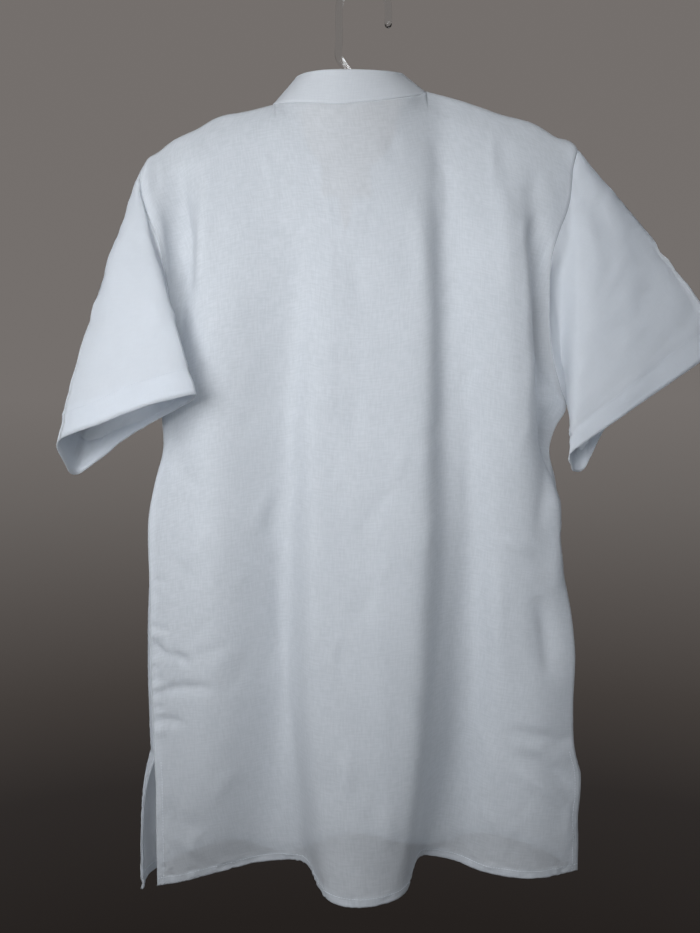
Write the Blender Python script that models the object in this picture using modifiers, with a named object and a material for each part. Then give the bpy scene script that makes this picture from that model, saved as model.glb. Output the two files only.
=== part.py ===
"""A short-sleeved kurta hanging on a clear hanger, at real size.

Metres, +Z up. The origin is the inner top of the hanger's hook. +X runs across the shoulders and
the back of the garment faces -Y. Every cloth piece is a grid of points worked out from the tables
below, given a wall with Solidify.
"""

import bmesh
import bpy
import numpy as np

COLLECTION = "kurta_on_hanger"

# Cloth
WALL = 0.0012
HEM_WALL = 0.0020
BODY_HEM = 0.009
SLEEVE_HEM = 0.027
HEM_STEP = 0.0012
BAND_WALL = 0.0018
BUTTON_GAP = 0.0004
BUTTON_COLUMN = 2

# Heights of the sections
HEM_Z = -0.937
SLIT_Z = -0.815
WAIST_Z = -0.640
CHEST_Z = -0.470
YOKE_Z = -0.290

# Seams: how far the second edge lies from the first
SIDE_SEAM_X = 0.0006
SIDE_SEAM_Y = 0.0017
SHOULDER_SEAM = 0.0011
ARMHOLE_OUT = 0.0012
ARMHOLE_ROUND = 0.0011
NECK_SEAM = 0.0010
SHOULDER_ROLL = 0.0075
ROLL_AT_SIDE = 0.03
ROLL_PAST_NECK = 0.02
RIM_REACH = 0.12
ARMHOLE_EASE = 0.03
SHOULDER_ROWS = (0.016, 0.0075, 0.0035, 0.0012, 0.0)

# Neck
NECK_X = -0.0155
NECK_LOW_X = -0.030
NECK_LEFT = (-0.096, -0.130)
NECK_RIGHT = (0.065, -0.116)
NECK_BACK = (-0.045, -0.1505)
NECK_FRONT = (0.052, -0.215)
NECK_BACK_POWER = 0.6
BAND_LEAN = 0.685
BAND_DEPTH = 0.90
BAND_TOP_BACK = -0.1140
BAND_TOP_LEFT = -0.1005
BAND_TOP_RIGHT = -0.0965
BAND_TOP_FRONT = -0.1830

# Placket
PLACKET_X = -0.020
PLACKET_HALF = 0.012
PLACKET_END_Z = -0.455
PLACKET_OPEN_Z = -0.268
PLACKET_OPEN_HALF = 0.017
PLACKET_LAP = 0.002
PLACKET_BELOW = 0.012
SLOT_BELOW = 0.004
SLOT_EASE = 0.02
SLOT_REACH = 0.12
STRIP_COLUMNS = 5
UNDER_LIFT = 0.0019
OVER_LIFT = 0.0036
BUTTON_RADIUS = 0.0055
BUTTON_HEIGHT = 0.0024
BUTTON_Z = (-0.238, -0.325, -0.405)

# Hanger
ROD_RADIUS = 0.0040
HOOK_CENTRE = (-0.0003, -0.0262)
HOOK_RADIUS = 0.0262
HOOK_LEG_END = -0.0790
HOOK_FOOT = (-0.0205, -0.0885)
HOOK_TIP_Z = -0.0440
HOOK_LEG_RISE = 0.02
NOSE_REACH = 0.92
HANGER_TURNS = 10
ARM_HALF_THICK = 0.0033
ARM_HALF_HEIGHT = 0.0060
ARM_UNDER_CLOTH = 0.0045
ARM_TOP = (-0.012, -0.1000)
ARM_INSET = 0.014

# Outer ends of the two shoulders
TIP_LEFT = (-0.2375, -0.2009)
TIP_RIGHT = (0.2268, -0.1774)

# The shoulder seam between neck and tip: x, z
SHOULDER_LEFT = np.array([
    (-0.2375, -0.2009),
    (-0.2297, -0.1881),
    (-0.2183, -0.1806),
    (-0.2059, -0.1703),
    (-0.1772, -0.1560),
    (-0.1594, -0.1453),
    (-0.1220, -0.1367),
    (-0.0960, -0.1300),
])
SHOULDER_RIGHT = np.array([
    (0.0650, -0.1160),
    (0.1027, -0.1260),
    (0.1455, -0.1408),
    (0.1844, -0.1525),
    (0.2025, -0.1641),
    (0.2257, -0.1758),
    (0.2268, -0.1774),
])

# Side edges of the back, hem to shoulder tip: z, x, y. The row at the underarm starts the armhole
EDGE_LEFT = np.array([
    (-0.937, -0.2087, -0.0448),
    (-0.887, -0.2099, -0.0450),
    (-0.842, -0.2114, -0.0420),
    (-0.812, -0.2134, -0.0390),
    (-0.775, -0.2160, -0.0350),
    (-0.742, -0.2182, -0.0330),
    (-0.703, -0.2200, -0.0300),
    (-0.672, -0.2210, -0.0280),
    (-0.638, -0.2215, -0.0260),
    (-0.606, -0.2240, -0.0220),
    (-0.571, -0.2250, -0.0180),
    (-0.533, -0.2196, -0.0130),
    (-0.497, -0.2120, -0.0090),
    (-0.467, -0.2140, -0.0060),
    (-0.435, -0.2180, -0.0050),
    (-0.415, -0.2090, -0.0150),
    (-0.380, -0.2010, -0.0290),
    (-0.337, -0.2003, -0.0350),
    (-0.309, -0.2057, -0.0340),
    (-0.282, -0.2128, -0.0300),
    (-0.263, -0.2208, -0.0260),
    (-0.245, -0.2295, -0.0200),
    (-0.219, -0.2350, -0.0120),
    (-0.2009, -0.2375, 0.0),
])
EDGE_RIGHT = np.array([
    (-0.937, 0.2222, -0.0186),
    (-0.903, 0.2224, -0.0200),
    (-0.882, 0.2215, -0.0210),
    (-0.839, 0.2249, -0.0200),
    (-0.810, 0.2186, -0.0200),
    (-0.770, 0.2175, -0.0190),
    (-0.707, 0.2200, -0.0170),
    (-0.675, 0.2174, -0.0150),
    (-0.624, 0.2080, -0.0140),
    (-0.592, 0.2015, -0.0130),
    (-0.564, 0.2044, -0.0120),
    (-0.532, 0.2017, -0.0100),
    (-0.495, 0.1959, -0.0080),
    (-0.474, 0.2030, -0.0060),
    (-0.452, 0.2150, -0.0050),
    (-0.435, 0.2070, -0.0130),
    (-0.408, 0.1965, -0.0230),
    (-0.376, 0.1901, -0.0290),
    (-0.339, 0.1895, -0.0310),
    (-0.300, 0.1931, -0.0280),
    (-0.274, 0.2014, -0.0240),
    (-0.248, 0.2120, -0.0200),
    (-0.195, 0.2215, -0.0090),
    (-0.1774, 0.2268, 0.0),
])
UNDERARM_Z = (-0.435, -0.452)

# Folds where each panel meets the neck: left shoulder, lowest point, right shoulder
NECK_FOLDS = {-1: ("wall_left", "crest", "wall_right"), 1: ("valley_left", "centre", "valley_right")}

# The front's slit edge on the left swings out past the back's: z, x, y
FRONT_SLIT_LEFT = np.array([
    (-0.937, -0.2238, -0.0520),
    (-0.910, -0.2264, -0.0480),
    (-0.880, -0.2252, -0.0440),
    (-0.854, -0.2242, -0.0410),
    (-0.835, -0.2212, -0.0395),
    (-0.815, -0.2150, -0.0375),
])

# Folds of the back, left to right. across is the share of the cut width; each section has the
# fold's x and y. steps is the grid's columns between this fold and the next
FOLDS = ["across", "hem_x", "hem_y", "slit_x", "slit_y", "waist_x", "waist_y",
         "chest_x", "chest_y", "yoke_x", "yoke_y", "steps"]
BACK_FOLDS = {
    "side_left":   (0.000, -.2087, -.0448, -.2134, -.0390, -.2215, -.0260, -.214, -.006, -.212, -.030, 3),
    "hollow_left": (0.050, -.1880, -.0400, -.1900, -.0400, -.1980, -.0330, -.194, -.019, -.194, -.024, 3),
    "ridge_left":  (0.110, -.1620, -.0270, -.1560, -.0420, -.1600, -.0480, -.164, -.044, -.166, -.042, 4),
    "valley_left": (0.240, -.0960, 0.0000, -.0860, -.0100, -.0800, -.0170, -.077, -.027, -.076, -.036, 4),
    "wall_left":   (0.315, -.0590, -.0050, -.0680, -.0260, -.0690, -.0330, -.066, -.038, -.060, -.041, 3),
    "brow_left":   (0.400, -.0430, -.0640, -.0520, -.0580, -.0540, -.0560, -.050, -.053, -.042, -.048, 4),
    "crest":       (0.480, -.0060, -.0816, -.0120, -.0700, -.0120, -.0620, -.006, -.056, -.002, -.052, 4),
    "brow_right":  (0.570, 0.0440, -.0550, 0.0530, -.0600, 0.0570, -.0600, 0.059, -.056, 0.060, -.050, 3),
    "wall_right":  (0.650, 0.0545, 0.0080, 0.0710, -.0240, 0.0780, -.0360, 0.080, -.042, 0.076, -.040, 3),
    "valley_right": (0.690, 0.0680, 0.0090, 0.0980, -.0060, 0.1060, -.0200, 0.100, -.031, 0.090, -.034, 4),
    "slope_right": (0.790, 0.1200, -.0215, 0.1310, -.0260, 0.1340, -.0350, 0.126, -.043, 0.118, -.045, 4),
    "ridge_right": (0.890, 0.1700, -.0340, 0.1740, -.0360, 0.1740, -.0320, 0.160, -.046, 0.152, -.050, 4),
    "side_right":  (1.000, 0.2222, -.0186, 0.2186, -.0200, 0.2100, -.0140, 0.202, -.006, 0.196, -.027, 0),
}
FRONT_FOLDS = {
    "side_left":   (0.000, -.2238, -.0520, -.2150, -.0375, -.2220, -.0245, -.215, -.004, -.212, 0.030, 2),
    "wrap_left":   (0.030, -.2255, -.0300, -.2230, -.0200, -.2262, -.0100, -.212, 0.008, -.206, 0.031, 2),
    "hollow_left": (0.090, -.2080, 0.0000, -.2080, 0.0060, -.2020, 0.0100, -.192, 0.022, -.188, 0.031, 3),
    "ridge_left":  (0.200, -.1470, 0.0420, -.1500, 0.0380, -.1500, 0.0340, -.144, 0.036, -.142, 0.034, 3),
    "valley_left": (0.320, -.0860, 0.0180, -.0860, 0.0200, -.0840, 0.0240, -.086, 0.030, -.082, 0.036, 3),
    "slot_left":   (0.430, -.0320, 0.0480, -.0320, 0.0450, -.0320, 0.0440, -.032, 0.046, -.032, 0.051, 1),
    "centre":      (0.470, -.0200, 0.0540, -.0200, 0.0500, -.0200, 0.0475, -.020, 0.048, -.020, 0.052, 1),
    "slot_right":  (0.510, -.0080, 0.0560, -.0080, 0.0510, -.0080, 0.0480, -.008, 0.048, -.008, 0.051, 3),
    "valley_right": (0.650, 0.0640, 0.0300, 0.0600, 0.0280, 0.0580, 0.0280, 0.060, 0.034, 0.056, 0.040, 3),
    "ridge_right": (0.800, 0.1360, 0.0560, 0.1340, 0.0460, 0.1300, 0.0400, 0.126, 0.036, 0.124, 0.036, 3),
    "hollow_right": (0.920, 0.1930, 0.0240, 0.1900, 0.0180, 0.1840, 0.0140, 0.180, 0.018, 0.176, 0.030, 3),
    "side_right":  (1.000, 0.2216, -.0170, 0.2180, -.0180, 0.2095, -.0120, 0.202, -.004, 0.194, 0.028, 0),
}

# Sleeves. Each row is a line from armhole to cuff, down the back's edge and up the front's: the
# height where it leaves the armhole, then its place at mid sleeve and at the cuff
SLEEVE = ["arm", "mid_x", "mid_y", "mid_z", "cuff_x", "cuff_y", "cuff_z"]
SLEEVE_LEFT = {
    "top":        (-.2009, -.2765, -.030, -.3450, -.3043, -.055, -.4907),
    "near_high":  (-.2080, -.2520, -.048, -.3430, -.2650, -.074, -.4780),
    "near_mid":   (-.2200, -.2260, -.057, -.3410, -.2130, -.083, -.4600),
    "inner_fold": (-.2350, -.1985, -.056, -.3410, -.1641, -.080, -.4467),
    "valley":     (-.3000, -.1960, -.043, -.3750, -.1710, -.062, -.4520),
    "under":      (-.3700, -.2000, -.037, -.4150, -.1880, -.046, -.4580),
    "underarm":   (-.4350, -.2130, -.031, -.4450, -.2120, -.035, -.4686),
    "far_low":    (-.3900, -.2360, 0.004, -.4300, -.2500, -.020, -.4880),
    "far_mid":    (-.3100, -.2580, 0.016, -.3900, -.3020, -.010, -.5240),
    "far_high":   (-.2400, -.2740, 0.002, -.3600, -.3085, -.032, -.5100),
}
SLEEVE_RIGHT = {
    "top":        (-.1774, 0.3048, -.012, -.2791, 0.3712, -.030, -.3902),
    "near_high":  (-.1850, 0.2800, -.032, -.3120, 0.3042, -.046, -.4337),
    "near_mid":   (-.1960, 0.2480, -.043, -.3540, 0.2480, -.055, -.4715),
    "inner_fold": (-.2150, 0.2160, -.045, -.3950, 0.2057, -.050, -.5025),
    "valley":     (-.2800, 0.2080, -.024, -.3950, 0.2090, -.042, -.5150),
    "under":      (-.3600, 0.2120, -.015, -.4300, 0.2160, -.034, -.5210),
    "underarm":   (-.4520, 0.2300, -.006, -.4550, 0.2290, -.026, -.5150),
    "far_low":    (-.3900, 0.2500, 0.010, -.4100, 0.2560, -.018, -.4700),
    "far_mid":    (-.3000, 0.2700, 0.014, -.3500, 0.3020, -.014, -.4350),
    "far_high":   (-.2200, 0.2920, 0.006, -.3050, 0.3480, -.014, -.4040),
}
SLEEVE_ROWS = 8
SLEEVE_START = 0.03
UNDERARM_CLEAR = 0.012
PANEL_ROWS = 22
BAND_ROWS = 4


def through(knots, values, at):
    """A smooth curve through values at rising knots, read at the given places.

    Cubic Hermite: each knot's slope is the mean of the slopes beside it, weighted by nearness.
    """
    knots = np.asarray(knots, float)
    values = np.asarray(values, float)
    at = np.asarray(at, float)
    if values.ndim > 1:
        return np.stack([through(knots, column, at) for column in values.T], axis=-1)
    gap = np.diff(knots)
    rise = np.diff(values) / gap
    slope = np.empty(len(knots))
    slope[0] = rise[0]
    slope[-1] = rise[-1]
    slope[1:-1] = (rise[:-1] * gap[1:] + rise[1:] * gap[:-1]) / (gap[:-1] + gap[1:])
    i = np.clip(np.searchsorted(knots, at, side="right") - 1, 0, len(knots) - 2)
    t = (at - knots[i]) / gap[i]
    start = values[i] * (2 * t**3 - 3 * t**2 + 1) + slope[i] * gap[i] * (t**3 - 2 * t**2 + t)
    end = values[i + 1] * (3 * t**2 - 2 * t**3) + slope[i + 1] * gap[i] * (t**3 - t**2)
    return start + end


def ease(t):
    """0 to 1 with flat ends."""
    t = np.clip(t, 0.0, 1.0)
    return t * t * (3.0 - 2.0 * t)


def columns_of(table):
    """The table's rows as an array, and the grid's places across it, with every fold on a column."""
    rows = np.array(list(table.values()))
    across = rows[:, 0]
    steps = rows[:, FOLDS.index("steps")].astype(int)
    places = [np.linspace(a, b, n, endpoint=False) for a, b, n in zip(across[:-1], across[1:], steps)]
    return rows, np.concatenate(places + [[1.0]])


def shoulder_z(x):
    """Height of the shoulder seam at x, on either side of the neck."""
    left = np.interp(x, SHOULDER_LEFT[:, 0], SHOULDER_LEFT[:, 1])
    right = np.interp(x, SHOULDER_RIGHT[:, 0], SHOULDER_RIGHT[:, 1])
    return np.where(x < NECK_X, left, right)


def neck_place(table, across, facing):
    """Angle of each column along the neck, from 0 at the shoulder seam to a right angle at the
    lowest point, and the x of every column of the top edge."""
    left, low, right = NECK_FOLDS[facing]
    start, middle, end = table[left][0], table[low][0], table[right][0]
    low_x = NECK_LOW_X if facing < 0 else PLACKET_X
    side_x = np.where(across < middle, NECK_LEFT[0], NECK_RIGHT[0])
    share = np.where(across < middle, (across - start) / (middle - start), (end - across) / (end - middle))
    angle = np.clip(share, 0.0, 1.0) * np.pi / 2
    neck_x = low_x + (side_x - low_x) * np.cos(angle)
    seam_x = np.interp(across, [0.0, start, end, 1.0],
                       [TIP_LEFT[0], NECK_LEFT[0], NECK_RIGHT[0], TIP_RIGHT[0]])
    return angle, np.where(share > 0, neck_x, seam_x)


def top_edge(table, across, facing):
    """Top of a panel: shoulder seam, neck, shoulder seam. facing is -1 for the back."""
    angle, x = neck_place(table, across, facing)
    low_y, low_z = NECK_BACK if facing < 0 else NECK_FRONT
    power = NECK_BACK_POWER if facing < 0 else 1.0
    side_z = np.where(x < NECK_X, NECK_LEFT[1], NECK_RIGHT[1])
    y = low_y * np.sin(angle)
    z = low_z + (side_z - low_z) * (1.0 - np.sin(angle))**power
    z = np.where(angle > 0, z, shoulder_z(x))
    return np.stack([x, y + facing * SHOULDER_SEAM / 2, z], axis=-1)


def side_edge(side, facing, z):
    """A panel's side at the given heights. The front's edge lies just outside the back's."""
    table = EDGE_LEFT if side < 0 else EDGE_RIGHT
    underarm = UNDERARM_Z[0 if side < 0 else 1]
    xy = through(table[:, 0], table[:, 1:], z)
    above = ease((z - underarm) / ARMHOLE_EASE)[:, None]
    if facing > 0:
        seam = xy + np.array([side * SIDE_SEAM_X, SIDE_SEAM_Y])
        armhole = np.stack([xy[:, 0], -xy[:, 1]], axis=-1)
        xy = seam * (1 - above) + armhole * above
        if side < 0:
            swing = through(FRONT_SLIT_LEFT[:, 0], FRONT_SLIT_LEFT[:, 1:], z)
            xy = np.where(z[:, None] < FRONT_SLIT_LEFT[-1, 0], swing, xy)
    seam_y = facing * SHOULDER_SEAM / 2 * above[:, 0]
    return np.stack([xy[:, 0], xy[:, 1] + seam_y, z], axis=-1)


def panel_rows(length):
    """Places up a panel: close rows at the hem's step and at the shoulder roll, even between."""
    low = np.array([0.0, BODY_HEM, BODY_HEM + HEM_STEP]) / length
    high = 1.0 - np.array(SHOULDER_ROWS) / length
    return np.concatenate([low, np.linspace(low[-1], high[0], PANEL_ROWS)[1:-1], high])


def panel(table, facing):
    """Points of the back or the front, one row for each height and one column for each place.

    A smooth surface through the folds is moved at its rim onto the side and top edges, and rolls
    over the shoulders on a quarter circle.
    """
    rows, across = columns_of(table)
    knots = rows[:, 0]
    top = top_edge(table, across, facing)
    at_knot = np.searchsorted(across, knots - 1e-6)
    up = panel_rows(top[0, 2] - HEM_Z)
    on_shoulder = 1.0 - ease((np.abs(top[:, 1]) - SHOULDER_SEAM) / ROLL_PAST_NECK)
    lines = []
    for row, start in zip(rows, at_knot):
        seam = top[start] + np.array([0.0, facing * SHOULDER_ROLL * on_shoulder[start], 0.0])
        heights = [HEM_Z, SLIT_Z, WAIST_Z, CHEST_Z, YOKE_Z, seam[2]]
        places = np.concatenate([row[1:11].reshape(5, 2), [seam[:2]]])
        z = HEM_Z + (seam[2] - HEM_Z) * up
        lines.append(np.column_stack([through(heights, places, z), z]))
    lines = np.array(lines)
    grid = np.stack([through(knots, lines[:, i], across) for i in range(len(up))])
    below = (top[:, 2] - HEM_Z) * (1.0 - up[:, None])
    grid[..., 2] = top[:, 2] - below
    goal = top + np.array([0.0, facing * SHOULDER_ROLL, 0.0]) * on_shoulder[:, None]
    grid[..., :2] += (goal - grid[-1])[:, :2] * ease(1.0 - below / RIM_REACH)[..., None]
    for side, edge, share in ((-1, 0, across / knots[2]), (1, -1, (1.0 - across) / (1.0 - knots[-2]))):
        target = side_edge(side, facing, grid[:, edge, 2])
        target[:, 1] += facing * SHOULDER_ROLL * ease(1.0 - below[:, edge] / ROLL_AT_SIDE)
        grid += (target - grid[:, edge])[:, None] * (1.0 - ease(share))[None, :, None]
    rolled = np.clip(below / SHOULDER_ROLL, 0.0, 1.0)
    back_in = SHOULDER_ROLL * (1.0 - np.sqrt(1.0 - (1.0 - rolled)**2))
    grid[..., 1] -= facing * back_in * on_shoulder
    return grid


def placket_open(z):
    """Half the gap between the two strips, where the top button is undone."""
    reach = (z - PLACKET_OPEN_Z) / (NECK_FRONT[1] - PLACKET_OPEN_Z)
    return PLACKET_OPEN_HALF * np.sqrt(ease(reach))


def front_with_slot():
    """The front's points with the slot's edges moved to the placket, and its faces to leave out."""
    grid = panel(FRONT_FOLDS, 1)
    across = columns_of(FRONT_FOLDS)[1]
    left = fold_column(FRONT_FOLDS, "slot_left")
    right = fold_column(FRONT_FOLDS, "slot_right")
    z = grid[:, left, 2]
    half = PLACKET_HALF + placket_open(z)
    in_slot = ease((z - PLACKET_END_Z) / SLOT_EASE + 1.0)
    for column, side in ((left, -1), (right, 1)):
        shift = (PLACKET_X + side * half - grid[:, column, 0]) * in_slot
        reach = 1.0 - ease(side * (across - across[column]) / SLOT_REACH)
        reach = np.where(side * (across - across[column]) < 0, 0.0, reach)
        grid[..., 0] += shift[:, None] * reach[None]
    rows, columns = grid.shape[:2]
    keep = np.ones((rows - 1, columns - 1), bool)
    keep[z[:-1] > PLACKET_END_Z - SLOT_BELOW, left:right] = False
    return grid, keep


def wall_object(name, grid, material, closed=False, keep=None, thick=None, wall=WALL, turned=False):
    """A closed cloth wall from a grid of points: quads, then Solidify to both sides.

    thick marks the points of a turned hem, which get the full wall while the rest get less.
    """
    rows, columns = grid.shape[:2]
    index = np.arange(rows * columns).reshape(rows, columns)
    across = np.roll(index, -1, axis=1) if closed else index[:, 1:]
    along = index if closed else index[:, :-1]
    quads = np.stack([along[:-1], across[:-1], across[1:], along[1:]], axis=-1)
    if keep is not None:
        quads = quads[keep]
    quads = quads.reshape(-1, 4)
    if turned:
        quads = quads[:, ::-1]
    mesh = bpy.data.meshes.new(name)
    mesh.from_pydata(grid.reshape(-1, 3).tolist(), [], quads.tolist())
    mesh.update()
    used = np.zeros(rows * columns, bool)
    used[quads.ravel()] = True
    part = bpy.data.objects.new(name, mesh)
    collection.objects.link(part)
    mesh.materials.append(material)
    mesh.shade_smooth()
    solidify = part.modifiers.new("wall", "SOLIDIFY")
    solidify.offset = 0.0
    solidify.thickness = wall
    if thick is not None:
        group = part.vertex_groups.new(name="hem")
        group.add(np.flatnonzero(thick.ravel() & used).tolist(), 1.0, "REPLACE")
        solidify.vertex_group = "hem"
        solidify.thickness_vertex_group = WALL / wall
    return part


def fold_column(table, fold):
    """The grid column that a fold stands on."""
    return int(np.argmin(np.abs(columns_of(table)[1] - table[fold][0])))


def armhole_ring(side, table, back, front):
    """The sleeve's first ring, and each point's place among the sleeve's lines.

    It goes down the back's armhole and up the front's on the panels' own points, with one more
    half way between each two, and lies just outside and round them.
    """
    edge = 0 if side < 0 else -1
    underarm = UNDERARM_Z[0 if side < 0 else 1]
    down = back[::-1, edge]
    up = front[:, edge]
    down = down[down[:, 2] > underarm + UNDERARM_CLEAR]
    up = up[up[:, 2] > underarm + UNDERARM_CLEAR]
    tip = 0.5 * (down[0] + up[-1])
    low = 0.5 * (side_edge(side, -1, np.array([underarm])) + side_edge(side, 1, np.array([underarm])))[0]
    lines = np.array(list(table.values()))
    under = list(table).index("underarm")
    ring = np.concatenate([[tip], down[1:], [low], up[:-1]])
    ring = np.stack([ring, 0.5 * (ring + np.roll(ring, -1, axis=0))], axis=1).reshape(-1, 3)
    half = 2 * len(down)
    along_back = np.interp(-ring[:half + 1, 2], -lines[:under + 1, 0], np.arange(under + 1))
    arm = np.append(lines[under:, 0], lines[0, 0])
    along_front = np.interp(ring[half + 1:, 2], arm, np.arange(under, under + len(arm)))
    middle = np.array([0.0, 0.0, 0.5 * (low[2] + tip[2])])
    away = (ring - middle) * [0.0, 1.0, 1.0]
    away /= np.linalg.norm(away, axis=1)[:, None]
    ring = ring + away * ARMHOLE_ROUND + np.array([side * ARMHOLE_OUT, 0.0, 0.0])
    return ring, np.concatenate([along_back, along_front])


def ring_through(points, places):
    """A closed smooth ring through the points, read at places counted in points."""
    count = len(points)
    wrapped = np.concatenate([points[-3:], points, points[:3]])
    return through(np.arange(-3, count + 3), wrapped, places)


def sleeve(table, side, back, front):
    """Rings from the armhole to the cuff, on a curve through the ring at mid sleeve.

    The last rows stand close together where the turned hem ends.
    """
    rows = np.array(list(table.values()))
    arm, places = armhole_ring(side, table, back, front)
    mid_x, cuff_x = SLEEVE.index("mid_x"), SLEEVE.index("cuff_x")
    middle = ring_through(rows[:, mid_x:mid_x + 3], places)
    cuff = ring_through(rows[:, cuff_x:cuff_x + 3], places)
    length = np.linalg.norm(cuff - middle, axis=1).mean() + np.linalg.norm(middle - arm, axis=1).mean()
    hem = 1.0 - np.array([SLEEVE_HEM + HEM_STEP, SLEEVE_HEM, SLEEVE_HEM / 2, 0.0]) / length
    along = np.concatenate([[0.0, SLEEVE_START], np.linspace(0.0, hem[0], SLEEVE_ROWS)[1:-1], hem])
    t = along[:, None, None]
    bend = 4.0 * (middle - 0.5 * (arm + cuff))
    grid = arm + (cuff - arm) * t + bend * t * (1.0 - t)
    thick = np.zeros(grid.shape[:2], bool)
    thick[-3:] = True
    return grid, thick


def neck_ring(back, front):
    """The neck seam from the slot's left edge round the back to its right edge."""
    back_left, back_right = (fold_column(BACK_FOLDS, NECK_FOLDS[-1][i]) for i in (0, 2))
    front_left, front_right = (fold_column(FRONT_FOLDS, NECK_FOLDS[1][i]) for i in (0, 2))
    slot_left, slot_right = (fold_column(FRONT_FOLDS, fold) for fold in ("slot_left", "slot_right"))
    left = front[-1, front_left + 1:slot_left + 1][::-1]
    right = front[-1, slot_right:front_right][::-1]
    return np.concatenate([left, back[-1, back_left:back_right + 1], right])


def collar_band(back, front):
    """The band: its foot stands on the neck seam, its top leans in towards the neck."""
    foot = neck_ring(back, front)
    beside = np.where(foot[:, 0] < NECK_X, BAND_TOP_LEFT, BAND_TOP_RIGHT)
    behind = np.clip(foot[:, 1] / NECK_BACK[0], 0.0, 1.0)
    before = np.clip(foot[:, 1] / NECK_FRONT[0], 0.0, 1.0)
    top_z = beside + (BAND_TOP_BACK - beside) * behind + (BAND_TOP_FRONT - beside) * before
    lean = BAND_LEAN + (1.0 - BAND_LEAN) * before**2
    top_x = NECK_X + (foot[:, 0] - NECK_X) * lean
    top = np.column_stack([top_x, foot[:, 1] * BAND_DEPTH, top_z])
    along = np.gradient(foot, axis=0)
    along /= np.linalg.norm(along, axis=1)[:, None]
    off = (top - foot) - ((top - foot) * along).sum(axis=1)[:, None] * along
    foot = foot + off / np.linalg.norm(off, axis=1)[:, None] * NECK_SEAM
    t = np.linspace(0.0, 1.0, BAND_ROWS)[:, None, None]
    return foot + (top - foot) * t


def placket_strip(grid, side, lift):
    """A strip beside the slot, on the line from edge to edge of the slot, moved out by lift."""
    left = grid[:, fold_column(FRONT_FOLDS, "slot_left")]
    right = grid[:, fold_column(FRONT_FOLDS, "slot_right")]
    rows = left[:, 2] > PLACKET_END_Z - PLACKET_BELOW
    left, right = left[rows], right[rows]
    edge = (left if side < 0 else right)[:, 0]
    t = np.linspace(0.0, 1.0, STRIP_COLUMNS)
    away = 2 * PLACKET_LAP - (2 * PLACKET_HALF + PLACKET_LAP) * t
    x = edge[:, None] + side * away
    share = (x - left[:, :1]) / (right[:, :1] - left[:, :1])
    strip = left[:, None] + (right - left)[:, None] * share[..., None]
    strip[..., 1] += lift
    return strip


def make_button(name, x, y, z, material):
    """A shirt button: a low turned disc with a raised rim, its face towards +Y."""
    profile = [(0.0, 0.0), (0.8, 0.0), (1.0, 0.3), (1.0, 0.8), (0.85, 1.0), (0.65, 0.7), (0.0, 0.7)]
    turns = 20
    angle = np.linspace(0.0, 2 * np.pi, turns, endpoint=False)
    rings = np.array(profile[1:-1])
    points = np.stack([
        x + BUTTON_RADIUS * rings[:, :1] * np.cos(angle),
        y + BUTTON_HEIGHT * rings[:, 1:] * np.ones(turns),
        z + BUTTON_RADIUS * rings[:, :1] * np.sin(angle),
    ], axis=-1)
    return closed_tube(name, points, material)


def closed_tube(name, rings, material):
    """A closed body from rings of points, with a fan at each end."""
    count, turns = rings.shape[:2]
    index = np.arange(count * turns).reshape(count, turns)
    after = np.roll(index, -1, axis=1)
    quads = np.stack([index[:-1], after[:-1], after[1:], index[1:]], axis=-1).reshape(-1, 4)
    points = np.concatenate([rings.reshape(-1, 3), [rings[0].mean(axis=0), rings[-1].mean(axis=0)]])
    foot = count * turns
    caps = [(foot, b, a) for a, b in zip(index[0], after[0])]
    caps += [(foot + 1, a, b) for a, b in zip(index[-1], after[-1])]
    mesh = bpy.data.meshes.new(name)
    mesh.from_pydata(points.tolist(), [], quads.tolist() + [tuple(map(int, cap)) for cap in caps])
    mesh.update()
    face_out(mesh)
    mesh.materials.append(material)
    mesh.shade_smooth()
    part = bpy.data.objects.new(name, mesh)
    collection.objects.link(part)
    return part


def face_out(mesh):
    """Turns every face of a closed mesh outwards."""
    work = bmesh.new()
    work.from_mesh(mesh)
    bmesh.ops.recalc_face_normals(work, faces=work.faces)
    work.to_mesh(mesh)
    work.free()


def swept(path, half_wide, half_high):
    """Rings of an oval section along a path in the XZ plane. half_wide is along Y."""
    path = np.asarray(path, float)
    ahead = np.gradient(path, axis=0)
    ahead /= np.linalg.norm(ahead, axis=1)[:, None]
    up = np.stack([-ahead[:, 1], ahead[:, 0]], axis=-1)
    angle = np.linspace(0.0, 2 * np.pi, HANGER_TURNS, endpoint=False)
    half_high = np.broadcast_to(half_high, len(path))[:, None]
    half_wide = np.broadcast_to(half_wide, len(path))[:, None]
    x = path[:, :1] + up[:, :1] * half_high * np.sin(angle)
    z = path[:, 1:] + up[:, 1:] * half_high * np.sin(angle)
    y = half_wide * np.cos(angle)
    return np.stack([x, y, z], axis=-1)


def arm_path():
    """Centre of the arms under the cloth, from the left end over the middle to the right end."""
    left_x = np.linspace(TIP_LEFT[0] + ARM_INSET, NECK_LEFT[0], 9)
    right_x = np.linspace(NECK_RIGHT[0], TIP_RIGHT[0] - ARM_INSET, 9)
    depth = ARM_UNDER_CLOTH + ARM_HALF_HEIGHT + WALL
    left = np.column_stack([left_x, shoulder_z(left_x) - depth])
    right = np.column_stack([right_x, shoulder_z(right_x) - depth])
    knots = np.concatenate([left, [ARM_TOP], right])
    x = np.linspace(left_x[0], right_x[-1], 37)
    return np.column_stack([x, through(knots[:, 0], knots[:, 1], x)])


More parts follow.
